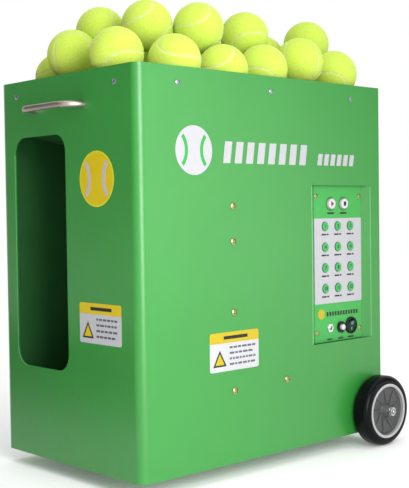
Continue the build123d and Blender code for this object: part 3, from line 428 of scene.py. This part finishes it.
def flag(name, place, target, size, shade):
    """Card that only the light sees: it keeps the white room's light off one side."""
    half_u, half_v = size[0] / 2, size[1] / 2
    place = Vector(place)
    turn = (Vector(target) - place).to_track_quat("Z", "Y").to_matrix()
    bm = bmesh.new()
    prism(bm, turn, rectangle(-half_u, half_u, -half_v, half_v), 0, 0.01, place)
    stage_piece(name, bm, Surface(name, (shade, shade, shade), 0.9)).visible_camera = False


def studio():
    world = bpy.data.worlds.new("studio")
    bpy.context.scene.world = world
    world.use_nodes = True
    background = world.node_tree.nodes["Background"]
    background.inputs["Color"].default_value = (1, 1, 1, 1)
    background.inputs["Strength"].default_value = 1.0
    bm = bmesh.new()
    prism(bm, Matrix.Identity(3), circle(0, 0, FLOOR_R, 96), -0.02, 0.0)
    stage_piece("floor", bm, Surface("floor", (0.93, 0.93, 0.93), 0.8, Emission_Strength=0.1))
    for card in CARDS:
        flag(*card)
    for lamp in LAMPS:
        area_light(*lamp)
    scene = bpy.context.scene
    scene.view_settings.view_transform = "Standard"
    scene.view_settings.look = "None"


# ------------------------------------------------------------------ CAD nodes that keep their shape
def keep(node, material, bevel, smooth_angle=35):
    """Gives a CAD node its material, and soft edges where a bevel is asked for."""
    obj = NODES[node]
    obj.data.materials.clear()
    obj.data.materials.append(M[material].material)
    for polygon in obj.data.polygons:
        polygon.material_index = 0
    if bevel:
        weld = obj.modifiers.new("weld", "WELD")
        weld.merge_threshold = 2e-6
        cut = obj.modifiers.new("edges", "BEVEL")
        cut.width, cut.segments, cut.limit_method = bevel, 2, "ANGLE"
        cut.angle_limit = math.radians(smooth_angle)
        cut.use_clamp_overlap = True
        even = obj.modifiers.new("normals", "WEIGHTED_NORMAL")
        even.keep_sharp = False
        even.weight = 80
    return obj


def line_shell():
    """Gives the cabinet's inner faces a painted shade: a darker green on those that lie under the skin and
    face inwards, standing in for the shade inside the cabinet.
    """
    shell = NODES["outer_shell"]
    shell.data.materials.append(M["painted_shade_inside"].material)
    low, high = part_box("outer_shell")
    middle_y = (low.y + high.y) / 2
    bend, skin = 12 * MM, 1.2 * MM
    for polygon in shell.data.polygons:
        x, y, _ = polygon.center
        beside, ahead = high.x - abs(x), y - low.y
        depth = min(beside, ahead)
        if beside < bend and ahead < bend:
            depth = bend - math.hypot(bend - beside, bend - ahead)
        outwards = polygon.normal.x * math.copysign(1, x) + (polygon.normal.y if y > middle_y else 0)
        if depth > skin and outwards < 0.05:
            polygon.material_index = 1


KEPT = (                                            # material, edge bevel in mm, nodes
    ("green", 0, "outer_shell rear_panel"),
    ("inner_green", 0, "base_plate"),
    # the hopper and feed bowl take the painted shade too, so the gaps between the balls look dark
    ("painted_shade_inside", 0, "hopper feed_bowl"),
    ("black_paint", 0, "drop_chute"),
    ("panel_green", 0, "control_panel"),
    ("film", 0, "keypad_overlay"),
    ("steel", 0, "side_brackets wheel_axle battery_strap feed_gearmotor kingpin"),
    ("board", 0, "control_board"),
    ("battery", 1.2, "battery"),
    ("nylon", 0.8, "feed_rotor"),
    ("black_paint", 0.4, "yaw_frame pitch_frame"),
    ("steel", 0.15, "yaw_sector pitch_sector"),
    ("gear_brass", 0.15, "yaw_pinion pitch_pinion"),
    ("steel", 0, "yaw_gearmotor tilt_gearmotor throw_motors"),
    ("aluminium", 0, "feed_tray upper_throw_hub lower_throw_hub"),
    ("urethane", 0, "upper_throw_tyre lower_throw_tyre"),
    ("key_green", 0.15, " ".join(f"key_{number:02d}" for number in range(1, 13))),
    ("key_white", 0, "start_button stop_button breaker_plunger"),
    ("black_plastic", 0.2, "breaker_body"),
    ("black_plastic", 0, "power_bezel"),
    ("smoked_green", 0.3, "power_rocker"),
    ("chrome", 0.2, "charge_jack"),
    ("foot_rubber", 0.8, "front_feet"),
)


def kept_nodes():
    for material, bevel, nodes in KEPT:
        for node in nodes.split():
            keep(node, material, bevel * MM)
    line_shell()


# ------------------------------------------------------------------ tennis balls
SEAM_HALF, SEAM_DEPTH, FUZZ = 1.25 * MM, 0.40 * MM, 0.12 * MM
SEAM_WAVE = (0.74, 0.26)        # first and third harmonic of the winding curve
SEAM_STEPS, SEARCH_BLOCK = 720, 4000
SNAP, WALL, LIP_AT, LIP_WIDTH = 0.3 * MM, 0.35 * MM, 0.9 * MM, 0.8 * MM
LEAN = math.radians(14)         # how far a ball leans from its quarter turns


def seam_curve():
    """Points of the closed seam curve on the unit ball."""
    t = np.linspace(0, 2 * math.pi, SEAM_STEPS, endpoint=False)
    a, b = SEAM_WAVE
    curve = np.column_stack([a * np.cos(t) + b * np.cos(3 * t), a * np.sin(t) - b * np.sin(3 * t),
                             2 * math.sqrt(a * b) * np.sin(2 * t)])
    return curve / np.linalg.norm(curve, axis=1)[:, None]


def ball_mesh(radius):
    """Ball with its one winding seam as a shallow groove, marked by the point attribute seam."""
    bm = bmesh.new()
    bmesh.ops.create_icosphere(bm, subdivisions=6, radius=1.0)
    mesh = bpy.data.meshes.new("ball")
    bm.to_mesh(mesh)
    bm.free()
    points = np.array([v.co for v in mesh.vertices])
    curve = seam_curve()
    nearest = np.empty(len(points), int)
    for start in range(0, len(points), SEARCH_BLOCK):
        nearest[start:start + SEARCH_BLOCK] = np.argmax(points[start:start + SEARCH_BLOCK] @ curve.T, axis=1)
    cosine = np.clip((points * curve[nearest]).sum(1), -1, 1)
    distance = np.arccos(cosine) * radius
    away = points - curve[nearest] * cosine[:, None]
    away /= np.maximum(np.linalg.norm(away, axis=1), 1e-9)[:, None]
    snap = np.abs(distance - SEAM_HALF) < SNAP
    target = SEAM_HALF / radius
    points[snap] = (curve[nearest] * math.cos(target) + away * math.sin(target))[snap]
    distance[snap] = SEAM_HALF
    groove = np.clip((SEAM_HALF + WALL - distance) / (2 * WALL), 0, 1)
    groove = groove * groove * (3 - 2 * groove)
    lip = np.exp(-((distance - SEAM_HALF - LIP_AT) / LIP_WIDTH) ** 2)
    rough = np.random.default_rng(11).uniform(-FUZZ, FUZZ, len(points))
    height = radius - FUZZ - SEAM_DEPTH * groove + FUZZ * lip + rough * (1 - groove)
    mesh.vertices.foreach_set("co", (points * np.minimum(height, radius)[:, None]).ravel())
    seam = mesh.attributes.new("seam", "FLOAT", "POINT")
    seam.data.foreach_set("value", (distance < SEAM_HALF + 0.05 * MM).astype(np.float32))
    mesh.shade_smooth()
    mesh.materials.append(M["felt"].material)
    mesh.update()
    return mesh


def tennis_balls():
    centres = [sphere_centre(points) for points in cad_islands("tennis_balls")]
    centres.sort(key=lambda item: (-round(item[0].z, 4), round(item[0].y, 4), round(item[0].x, 4)))
    mesh = ball_mesh(min(radius for _, radius in centres))
    for number, (centre, _) in enumerate(centres):
        ball = bpy.data.objects.new(f"ball_{number:02d}", mesh)
        bpy.context.scene.collection.objects.link(ball)
        turn = Matrix.Rotation(random.uniform(-LEAN, LEAN), 4, Vector((random.random(), random.random(), 1)))
        for axis in "XYZ":
            turn = turn @ Matrix.Rotation(random.randrange(4) * math.pi / 2, 4, axis)
        ball.matrix_world = Matrix.Translation(centre) @ turn
        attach(ball, "ball_load")
        if number == 0:
            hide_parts("tennis_balls")


# ------------------------------------------------------------------ screws
HEAD_RINGS, HEAD_STEPS, HEAD_SKIRT = 16, 48, 0.2 * MM
CROSS_ARM, CROSS_REACH, CROSS_DEPTH = 0.20, 0.62, 0.95      # shares of the head's radius and height
DOME_DROP, DOME_POWER = 0.55, 2.4


def screw_head(bm, centre, out, radius, height, turn):
    """Domed head with a cross recess, modelled as a polar grid, on a short skirt."""
    centre, out = Vector(centre), Vector(out)
    side = out.orthogonal().normalized()
    up = out.cross(side)
    arm, reach, depth = radius * CROSS_ARM, radius * CROSS_REACH, height * CROSS_DEPTH

    def point(r, k, lift):
        a = 2 * math.pi * k / HEAD_STEPS + turn
        return bm.verts.new(centre + side * (r * math.cos(a)) + up * (r * math.sin(a)) + out * lift)

    grid = []
    for i in range(HEAD_RINGS + 1):
        r = radius * (i / HEAD_RINGS) ** 0.8
        row = []
        for k in range(HEAD_STEPS if i else 1):
            a = 2 * math.pi * k / HEAD_STEPS
            top = height * (1 - DOME_DROP * (r / radius) ** DOME_POWER)
            if min(abs(r * math.cos(a)), abs(r * math.sin(a))) < arm and r < reach:
                top -= depth * (1 - 0.6 * r / reach)
            row.append(point(r, k, top))
        grid.append(row)
    base = [point(radius, k, -HEAD_SKIRT) for k in range(HEAD_STEPS)]
    grid.append(base)
    for a, b in zip(grid, grid[1:]):
        for k in range(HEAD_STEPS):
            j = (k + 1) % HEAD_STEPS
            corners = list(dict.fromkeys([a[k % len(a)], a[j % len(a)], b[j % len(b)], b[k % len(b)]]))
            bm.faces.new(corners)
    bm.faces.new(base)


def shank(bm, centre, out, radius, length):
    tip, overlap = radius * 0.5, 0.2 * MM
    profile = [(-length, 0), (-length, radius * 0.7), (tip - length, radius), (overlap, radius), (overlap, 0)]
    lathe(bm, profile, centre, out, 20)


def island_screws(node, name, material, head_height, shank_radius):
    """Replaces a node of domed fasteners by heads with a cross recess, where the CAD heads are."""
    bm = bmesh.new()
    for number, points in enumerate(cad_islands(node)):
        low, high = points.min(0), points.max(0)
        middle, size = (low + high) / 2, high - low
        axis = int(np.argmax([abs(size[i] - (size.sum() - size[i]) / 2) for i in range(3)]))
        outward = math.copysign(1, middle[axis])
        tip = high[axis] if outward > 0 else low[axis]
        head = points[np.abs(points[:, axis] - tip) < head_height * 1.05]
        radius = (head.max(0) - head.min(0))[(axis + 1) % 3] / 2
        out, centre = Vector((0, 0, 0)), Vector(middle)
        out[axis], centre[axis] = outward, tip - outward * head_height
        screw_head(bm, centre, out, radius, head_height, 0.4 + 1.7 * number)
        shank(bm, centre, out, shank_radius, size[axis] - head_height)
    piece(name, bm, material, "cabinet", 28, replaces=(node,))


# ------------------------------------------------------------------ stickers and print
def sticker(name, bm, material, body="cabinet"):
    """A piece of flat print, shaded flat."""
    return piece(name, bm, material, body, 0)


def plate(name, face, outline, low, high, material):
    """One flat printed shape on the cabinet."""
    bm = bmesh.new()
    prism(bm, face, outline, low, high)
    sticker(name, bm, material)


def ball_icon(bm, face, u, v, r, half_width, low, high):
    """The two bowed seam lines of a ball, cut off at the icon's edge."""
    steps, bow, offset = 80, 0.98 * r, 1.42 * r
    for side in (-1, 1):
        centre_u = u + side * offset
        angles = [2 * math.pi * i / steps - (math.pi if side < 0 else 0) for i in range(steps + 1)]
        inside = [a for a in angles
                  if (centre_u + bow * math.cos(a) - u) ** 2 + (bow * math.sin(a)) ** 2 < (r * 0.985) ** 2]
        outer, inner = ([(centre_u + (bow + w) * math.cos(a), v + (bow + w) * math.sin(a)) for a in inside]
                        for w in (half_width, -half_width))
        band(bm, face, outer, inner, low, high, closed=False)


def emblem(name, face, plane, u, v, r, disc, rim, icon):
    """Round badge: a disc, its rim and a generic ball icon."""
    plate(f"{name}_disc", face, circle(u, v, r * 0.955, 96), plane, plane + 0.22 * MM, disc)
    bm = bmesh.new()
    band(bm, face, circle(u, v, r, 96), circle(u, v, r * 0.95, 96), plane, plane + 0.24 * MM)
    sticker(f"{name}_rim", bm, rim)
    bm = bmesh.new()
    ball_icon(bm, face, u, v, r * 0.93, r * 0.085, plane + 0.1 * MM, plane + 0.27 * MM)
    sticker(f"{name}_seams", bm, icon)


LABEL_CORNER, HEADER_H = 3 * MM, 13.5 * MM
BAR_HALF, BAR_SHIFT, BAR_V = 21 * MM, 2 * MM, (4.6 * MM, 8.8 * MM)      # bar in the header
SIGN_U, SIGN_V, SIGN_HALF, SIGN_LINE = 17 * MM, 6.3 * MM, 11.5 * MM, 2.1 * MM
LINES_U, LINE_FIRST, LINE_PITCH, LINE_HALF = 34 * MM, 6.0 * MM, 7.0 * MM, 1.3 * MM


def label(name, face, plane, u0, u1, v0, v1, header):
    """Blank notice: coloured header with a plain bar, empty pictogram, and grey dashes for lines."""
    edge = rounded(u0, u1, v0, v1, LABEL_CORNER)
    plate(f"{name}_sheet", face, edge, plane, plane + 0.2 * MM, "label_print")
    split = v1 - HEADER_H
    top = [p for p in edge if p[1] > split] + [(u0, split), (u1, split)]
    plate(f"{name}_header", face, top, plane + 0.1 * MM, plane + 0.24 * MM, header)
    middle = (u0 + u1) / 2 + BAR_SHIFT
    bar = rectangle(middle - BAR_HALF, middle + BAR_HALF, split + BAR_V[0], split + BAR_V[1])
    plate(f"{name}_bar", face, bar, plane + 0.2 * MM, plane + 0.28 * MM, "dark_print")

    def pictogram(inset):
        tip, reach, base = u0 + SIGN_U, SIGN_HALF - 1.73 * inset, v0 + SIGN_V + inset
        return [(tip - reach, base), (tip + reach, base), (tip, base + 1.8 * reach)]

    bm = bmesh.new()
    band(bm, face, pictogram(0), pictogram(SIGN_LINE), plane + 0.15 * MM, plane + 0.27 * MM)
    sticker(f"{name}_pictogram", bm, "dark_print")
    fill = pictogram(SIGN_LINE - 0.1 * MM)
    plate(f"{name}_pictogram_fill", face, fill, plane + 0.15 * MM, plane + 0.25 * MM, header)
    bm = bmesh.new()
    for row in range(4):
        v = split - LINE_FIRST - row * LINE_PITCH
        u, end = u0 + LINES_U, u1 - (9 + row % 2 * 3) * MM
        while u < end:
            width = random.uniform(3.0, 8.5) * MM
            dash = rectangle(u, min(u + width, u1 - 6 * MM), v - LINE_HALF, v + LINE_HALF)
            prism(bm, face, dash, plane + 0.15 * MM, plane + 0.26 * MM)
            u += width + 1.6 * MM
    sticker(f"{name}_lines", bm, "grey_print")


def slanted_dashes(bm, face, plane, u0, u1, v0, v1, count, share, slant):
    """A row of slanted bars in place of lettering; share is the printed part of each pitch."""
    pitch = (u1 - u0) / count
    for i in range(count):
        left = u0 + i * pitch
        width = pitch * share
        outline = [(left, v0), (left + width, v0), (left + width + slant, v1), (left + slant, v1)]
        prism(bm, face, outline, plane, plane + 0.15 * MM)


# painted highlight: the pale strips below stand in for light caught by the recess and outlet edges
HIGHLIGHT_LIFT = 0.08 * MM                              # how far the pale edge strips stand off the sheet
RECESS_Y, RECESS_Z, RECESS_LINE = (0.0777, 0.2041), (0.1545, 0.3692), 1.1 * MM
OUTLET_LEFT, OUTLET_LOW, OUTLET_CORNER = -0.112, 0.137, 0.022
OUTLET_LINE, OUTLET_LINE_TOP = 0.7 * MM, 0.415


def bright_edges(front, side):
    """Painted highlights: pale green strips where the bent edge of the recess and the cut edge of the outlet
    catch the light.
    """
    bm = bmesh.new()
    for u in RECESS_Y:
        line = rectangle(u - RECESS_LINE / 2, u + RECESS_LINE / 2, *RECESS_Z)
        prism(bm, SIDE, line, side, side + HIGHLIGHT_LIFT)
    sticker("recess_edge_highlights", bm, "painted_edge_highlight")

    def cut_edge(offset):
        bend = circle(OUTLET_LEFT + OUTLET_CORNER, OUTLET_LOW + OUTLET_CORNER, OUTLET_CORNER + offset, 8,
                      math.pi, math.pi / 2, closed=False)
        return [(OUTLET_LEFT - offset, OUTLET_LINE_TOP)] + bend

    bm = bmesh.new()
    band(bm, FRONT, cut_edge(OUTLET_LINE), cut_edge(0), front, front + HIGHLIGHT_LIFT, closed=False)
    sticker("outlet_edge_highlight", bm, "painted_edge_highlight")


def stickers():
    shell_low, shell_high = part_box("outer_shell")
    front, side = -shell_low.y, shell_high.x
    emblem("front_emblem", FRONT, front, 0.067, 0.3784, 0.034, "gold_print", "lime_print", "pale_print")
    emblem("side_emblem", SIDE, side, -0.1365, 0.4115, 0.030, "white_print", "white_print", "green_print")
    label("front_label", FRONT, front, 0.028, 0.111, 0.1780, 0.2275, "gold_print")
    label("side_label", SIDE, side, -0.1150, -0.029, 0.1374, 0.1861, "yellow_print")
    bm = bmesh.new()
    slanted_dashes(bm, SIDE, side, -0.088, 0.073, 0.3970, 0.4240, 8, 0.62, 0.004)
    slanted_dashes(bm, SIDE, side, 0.0895, 0.170, 0.3975, 0.4130, 6, 0.66, 0.003)
    sticker("side_stripes", bm, "white_print")
    bright_edges(front, side)


# ------------------------------------------------------------------ control panel
INK = 0.08 * MM                                     # thickness of the print on the panel
NUMBER_H, NUMBER_DEPTH, NUMBER_WEIGHT = 7.0 * MM, 0.04 * MM, 0.22 * MM
KEY_FACE_INSET, MARK_LOW, MARK_HIGH = 1.3 * MM, -0.05 * MM, 0.06 * MM
MARK_H, RING_R, RING_LINE = 3.9 * MM, 2.1 * MM, 0.8 * MM


def drape(bm, node):
    """Lays flat print onto a CAD node's right-hand face: each point's x is its height above the face."""
    obj = NODES[node]
    to_mesh = obj.matrix_world.inverted()
    inwards = (to_mesh.to_3x3() @ Vector((-1, 0, 0))).normalized()
    for vert in bm.verts:
        hit, place, _, _ = obj.ray_cast(to_mesh @ Vector((0.4, vert.co.y, vert.co.z)), inwards)
        if hit:
            vert.co.x += (obj.matrix_world @ place).x


def rocker_marks():
    """The usual ring and bar on the two halves of the power rocker."""
    low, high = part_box("power_rocker")
    y, z = (low.y + high.y) / 2, (low.z + high.z) / 2
    bm = bmesh.new()
    ring = z + MARK_H
    band(bm, SIDE, circle(y, ring, RING_R), circle(y, ring, RING_R - RING_LINE), 0.02 * MM, 0.10 * MM)
    bar = z - MARK_H
    prism(bm, SIDE, rectangle(y - 0.5 * MM, y + 0.5 * MM, bar - 2 * MM, bar + 2 * MM), 0.02 * MM, 0.10 * MM)
    drape(bm, "power_rocker")
    sticker("rocker_marks", bm, "cyan_print", "power_switch")


def numeral(name, text, centre, body):
    """A printed number on a key, as a thin raised mesh facing +X."""
    data = bpy.data.curves.new(name, "FONT")
    data.body, data.size = text, NUMBER_H
    data.align_x, data.align_y = "CENTER", "CENTER"
    data.extrude, data.offset = NUMBER_DEPTH, NUMBER_WEIGHT
    temp = bpy.data.objects.new(name + "_text", data)
    bpy.context.scene.collection.objects.link(temp)
    mesh = bpy.data.meshes.new_from_object(temp)
    bpy.data.objects.remove(temp)
    mesh.transform(Matrix.Translation(centre) @ SIDE.to_4x4())
    dress(bpy.data.objects.new(name, mesh), "dark_print", body, 0)


def about(y, z, left, right, bottom, top):
    """Rectangle at these distances in mm from a point of the panel."""
    return rectangle(y + left * MM, y + right * MM, z + bottom * MM, z + top * MM)


def program_key_print(dark, film):
    """Number and coloured face of each program key, and two dashes below it on the film."""
    for number in range(1, 13):
        low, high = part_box(f"key_{number:02d}")
        y, z, rim = (low.y + high.y) / 2, (low.z + high.z) / 2, (high.z - low.z) / 2
        body = f"program_key_{number:02d}"
        bm = bmesh.new()
        prism(bm, SIDE, circle(y, z, rim - KEY_FACE_INSET), high.x + MARK_LOW, high.x + 0.04 * MM)
        sticker(f"key_face_{number:02d}", bm, "key_print", body)
        numeral(f"key_number_{number:02d}", str(number), (high.x + 0.06 * MM, y, z), body)
        for left, right in ((-7.5, 2.2), (3.4, 7.5)):
            prism(dark, SIDE, about(y, z, left, right, -12.4, -10.2), film, film + INK)


def round_button_print(dark, panel):
    """Triangle and square on the two round buttons, a dark ring round each and a dash below it."""
    for name, ink in (("start", "red_print"), ("stop", "dark_print")):
        node, body = f"{name}_button", f"{name}_key"
        low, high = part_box(node)
        y, z, rim = (low.y + high.y) / 2, (low.z + high.z) / 2, (high.z - low.z) / 2
        outline = about(y, z, -2.6, 2.6, -3.0, 3.0)
        if name == "start":
            outline = [(y - 2.4 * MM, z - 4.0 * MM), (y + 3.6 * MM, z), (y - 2.4 * MM, z + 4.0 * MM)]
        bm = bmesh.new()
        prism(bm, SIDE, outline, high.x + MARK_LOW, high.x + MARK_HIGH)
        sticker(f"{node}_mark", bm, ink, body)
        prism(dark, SIDE, about(y, z, -7, 7, -14.4, -11.8), panel, panel + INK)
        ring = [circle(y, z, rim + gap * MM) for gap in (1.3, 0.5)]
        band(dark, SIDE, *ring, panel, panel + INK)


def control_print():
    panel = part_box("control_panel")[1].x
    dark = bmesh.new()
    program_key_print(dark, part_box("keypad_overlay")[1].x)
    round_button_print(dark, panel)
    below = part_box("power_bezel")[0].z
    for node, half in (("charge_jack", 5.5), ("breaker_body", 5.5), ("power_bezel", 6.5)):
        low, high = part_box(node)
        prism(dark, SIDE, about((low.y + high.y) / 2, below, -half, half, -5.2, -3.0), panel, panel + INK)
    slanted_dashes(dark, SIDE, panel, 0.115, 0.1845, 0.1890, 0.1950, 12, 0.62, 0.0)
    sticker("panel_print", dark, "dark_print")
    plate("panel_dot", SIDE, circle(0.1038, 0.1927, 7 * MM), panel, panel + 0.1 * MM, "yellow_print")


# ------------------------------------------------------------------ road wheels
RING_OUT, RING_IN = 38.9 * MM, 34.1 * MM            # pale sidewall ring
BOSS_FOOT_R, BOSS_END_R = 10.5 * MM, 7.2 * MM
SHOULDER_R, WEB_DEPTH = 8.5 * MM, 5.2 * MM
RIBS, RIB_BEND, RIB_HALF, RIB_ROOT = 9, 0.30, 0.8 * MM, 2 * MM
NUT_FLANGE_R, NUT_CROWN_R, NUT_TEETH = 6.6 * MM, 3.9 * MM, 6
TOOTH_HALF, TOOTH_T = 1.2 * MM, 0.8 * MM
SPACER_R, SPACER_BORE_R = 9 * MM, 6 * MM


def in_mm(*pairs):
    """Lathe profile from (base, offset in mm, base, offset in mm) rows: along, then radius."""
    return [(along + da * MM, radius + dr * MM) for along, da, radius, dr in pairs]


def hub_rib(bm, centre, sign, turn, web):
    """One curved rib that runs from the boss to the rim."""
    rings = []
    for i in range(11):
        share = i / 10
        r = BOSS_FOOT_R - 1 * MM + (RING_IN - 2.6 * MM - BOSS_FOOT_R) * share
        bend = turn + RIB_BEND * math.sin(share * math.pi / 2)
        level = web + (0.9 + 0.5 * share) * MM
        direction = Vector((0, math.cos(bend), math.sin(bend)))
        across = Vector((0, -math.sin(bend), math.cos(bend)))
        section = ((-1, web - RIB_ROOT), (-0.55, level), (0.55, level), (1, web - RIB_ROOT))
        rings.append([bm.verts.new(centre + direction * r + across * s * RIB_HALF + Vector((sign * x, 0, 0)))
                      for s, x in section])
    for a, b in zip(rings, rings[1:]):
        for k in range(4):
            j = (k + 1) % 4
            bm.faces.new((a[k], a[j], b[j], b[k]))
    bm.faces.new(rings[0])
    bm.faces.new(rings[-1])


def tyre_profile(half, outer):
    """Side, round shoulder and lightly ridged crown, then the same mirrored."""
    side = in_mm((half, -1.2, RING_IN, 0), (half, -1.2, RING_OUT, -0.5), (half, -0.3, RING_OUT, 0))
    side += arc(half - SHOULDER_R, outer - SHOULDER_R, SHOULDER_R, 0, 90, 12)
    crown = in_mm((0, 0.7, outer, -0.05), (0, 0.35, outer, 0),
                  (0, -0.35, outer, 0), (0, -0.7, outer, -0.05))
    return side + crown + [(-x, r) for x, r in reversed(side)]


def road_wheel(side_name, sign):
    """Tyre with round shoulders, pale sidewall ring, dished ribbed hub and its long boss."""
    low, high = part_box(f"{side_name}_road_tyre")
    hub_low, hub_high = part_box(f"{side_name}_road_hub")
    centre = (low + high) / 2
    half, outer = (high.x - low.x) / 2, (high.z - low.z) / 2
    boss_end = max(abs(hub_low.x), abs(hub_high.x)) - abs(centre.x)
    axis = (sign, 0, 0)
    body = f"{side_name}_road_wheel"
    bm = bmesh.new()
    lathe(bm, tyre_profile(half, outer), centre, axis, 128)
    replaced = (f"{side_name}_road_tyre",)
    piece(f"{side_name}_tyre_rubber", bm, "tyre", body, 40, replaces=replaced)
    ring = in_mm((half, -1.3, RING_OUT, -0.4), (half, -0.2, RING_OUT, -0.4), (half, -0.05, RING_OUT, -0.9),
                 (half, -0.05, RING_IN, 1.2), (half, -0.4, RING_IN, 0.4), (half, -6, RING_IN, 0),
                 (half, -6, RING_IN, 2), (half, -1.3, RING_OUT, -0.4))
    for end, facing in (("outer", 1), ("inner", -1)):
        bm = bmesh.new()
        lathe(bm, [(x * facing, r) for x, r in ring], centre, axis, 128)
        piece(f"{side_name}_sidewall_{end}", bm, "whitewall", body, 30)
    web = half - WEB_DEPTH
    bm = bmesh.new()
    face = in_mm((web, -3, 0, 0), (web, -3, RING_IN, -1), (web, 1.4, RING_IN, -0.4), (web, 1.4, RING_IN, -1.6),
                 (web, 0.2, RING_IN, -3.2), (web, -0.8, 0, 15), (web, -0.2, BOSS_FOOT_R, 1.2),
                 (web, 1.6, BOSS_FOOT_R, -0.6), (boss_end, -0.6, BOSS_END_R, 0),
                 (boss_end, 0, BOSS_END_R, -0.6), (boss_end, 0, 0, 0))
    lathe(bm, face, centre, axis, 96)
    rear = in_mm((-web, 1, 0, 0), (-web, 1, RING_IN, -0.5), (-web, -1, RING_IN, -0.5), (-web, -1, 0, 13),
                 (-half, 1, 0, 11), (-half, 1, 0, 0))
    lathe(bm, rear, centre, axis, 64)
    piece(f"{side_name}_hub", bm, "hub_grey", body, 30, replaces=(f"{side_name}_road_hub",))
    bm = bmesh.new()
    for rib in range(RIBS):
        hub_rib(bm, centre, sign, 2 * math.pi * rib / RIBS, web)
    # the ribs take the lighter grey: a painted highlight where they catch the light
    piece(f"{side_name}_ribs", bm, "painted_lit_rib_grey", body, 30)


def nut_tooth(bm, origin, sign, start, angle):
    """One sprung tooth of a push-on cap, leaning from the flange up to the crown."""
    direction = Vector((0, math.cos(angle), math.sin(angle)))
    across = Vector((0, -math.sin(angle), math.cos(angle)))
    corners = []
    for r, lift in ((NUT_CROWN_R - 0.3 * MM, 4.2 * MM), (NUT_FLANGE_R - 0.2 * MM, 1.1 * MM)):
        middle = Vector(origin) + direction * r + Vector((sign * (start + lift), 0, 0))
        corners += [middle + across * s * TOOTH_HALF for s in (-1, 1)]
    top = [bm.verts.new(corners[i]) for i in (0, 1, 3, 2)]
    bottom = [bm.verts.new(v.co - Vector((sign * TOOTH_T, 0, 0))) for v in top]
    bm.faces.new(top)
    bm.faces.new(bottom)
    for i in range(4):
        j = (i + 1) % 4
        bm.faces.new((top[i], top[j], bottom[j], bottom[i]))


def push_nuts():
    """Push-on axle caps: a flange with six sprung teeth pressed up around a small crown, and the spacers."""
    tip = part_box("axle_caps")[1].x
    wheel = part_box("right_road_tyre")
    middle = (wheel[0] + wheel[1]) / 2
    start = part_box("right_road_hub")[1].x + 0.2 * MM
    inner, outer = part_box("outer_shell")[1].x, wheel[0].x + 0.1 * MM
    height, origin = tip - start, (0, middle.y, middle.z)
    nut = in_mm((start, 0, 0, 0), (start, 0, NUT_FLANGE_R, 0), (start, 0.9, NUT_FLANGE_R, 0),
                (start, 1.2, NUT_FLANGE_R, -0.6), (start, 1.2, NUT_CROWN_R, 0.6))
    nut.append((start + height * 0.5, NUT_CROWN_R))
    nut += [(start + height * (0.5 + 0.5 * math.sin(a)), NUT_CROWN_R * math.cos(a))
            for a in (math.radians(x) for x in (20, 40, 60, 80))]
    nut.append((tip, 0))
    spacer = [(inner, SPACER_BORE_R), (inner, SPACER_R), (outer, SPACER_R), (outer, SPACER_BORE_R),
              (inner, SPACER_BORE_R)]
    bm = bmesh.new()
    for sign in (-1, 1):
        lathe(bm, nut, origin, (sign, 0, 0), 48)
        for tooth in range(NUT_TEETH):
            nut_tooth(bm, origin, sign, start, 2 * math.pi * (tooth + 0.4) / NUT_TEETH)
        lathe(bm, spacer, origin, (sign, 0, 0), 40)
    piece("push_nuts", bm, "nut_steel", "cabinet", 32, replaces=("axle_caps",))


# ------------------------------------------------------------------ handle
BOW_HALF_HIGH, BOW_HALF_DEEP, BOW_BEND_R = 4.0 * MM, 5.5 * MM, 22 * MM
BOW_STEPS, BOW_SQUARENESS = 28, 0.72
STUD_R, NUT_R, NUT_H = 2.5 * MM, 4.6 * MM, 4 * MM


def bow_path(leg, root, reach):
    """Half of the bow in plan, from the sheet out round the bend; then mirrored and put in order."""
    knee = reach + BOW_BEND_R
    half = [(leg, root), (leg, knee + 0.2 * MM)]
    half += [(leg - BOW_BEND_R + BOW_BEND_R * math.cos(a), knee - BOW_BEND_R * math.sin(a))
             for a in (math.radians(7.5 * i) for i in range(1, 13))]
    half.append((leg * 0.3, reach))
    return [(-x, y) for x, y in half] + half[::-1]


def carry_handle():
    """Bow of flat-oval bar, swept along straight runs and two large bends."""
    low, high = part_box("carry_handle")
    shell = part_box("outer_shell")[0]
    middle, level = (low.x + high.x) / 2, (low.z + high.z) / 2
    leg = (high.x - low.x) / 2 - BOW_HALF_DEEP
    plan = bow_path(leg, shell.y + 0.5 * MM, low.y + BOW_HALF_DEEP)
    path = [Vector((middle + x, y, level)) for x, y in plan]
    angles = [2 * math.pi * k / BOW_STEPS for k in range(BOW_STEPS)]

    def flat(c):
        return math.copysign(abs(c) ** BOW_SQUARENESS, c)

    bm = bmesh.new()
    rings = []
    for i, point in enumerate(path):
        ahead, behind = path[min(i + 1, len(path) - 1)], path[max(i - 1, 0)]
        across = (ahead - behind).normalized().cross(Vector((0, 0, 1)))
        rings.append([bm.verts.new(point + across * BOW_HALF_DEEP * flat(math.cos(a))
                                   + Vector((0, 0, BOW_HALF_HIGH * flat(math.sin(a))))) for a in angles])
    for a, b in zip(rings, rings[1:]):
        for k in range(BOW_STEPS):
            j = (k + 1) % BOW_STEPS
            bm.faces.new((a[k], a[j], b[j], b[k]))
    bm.faces.new(rings[0])
    bm.faces.new(rings[-1])
    stud = high.y - shell.y
    for x in (middle - leg, middle + leg):
        lathe(bm, [(0, 0), (0, STUD_R), (stud, STUD_R), (stud, 0)], (x, shell.y, level), (0, 1, 0), 24)
        prism(bm, REAR, circle(0, 0, NUT_R, 6), 0, NUT_H, (x, shell.y + 2 * MM, level))
    piece("bow_handle", bm, "nickel", "cabinet", 40, replaces=("carry_handle",))


# ------------------------------------------------------------------ build
camera()
studio()
kept_nodes()
tennis_balls()
island_screws("cabinet_screws", "rim_screw_heads", "zinc", 1.8 * MM, 2.0 * MM)
island_screws("frame_bolts", "frame_bolt_heads", "yellow_zinc", 2.6 * MM, 2.5 * MM)
island_screws("panel_screws", "panel_screw_heads", "yellow_zinc", 1.8 * MM, 2.0 * MM)
stickers()
control_print()
rocker_marks()
road_wheel("right", 1)
road_wheel("left", -1)
push_nuts()
carry_handle()
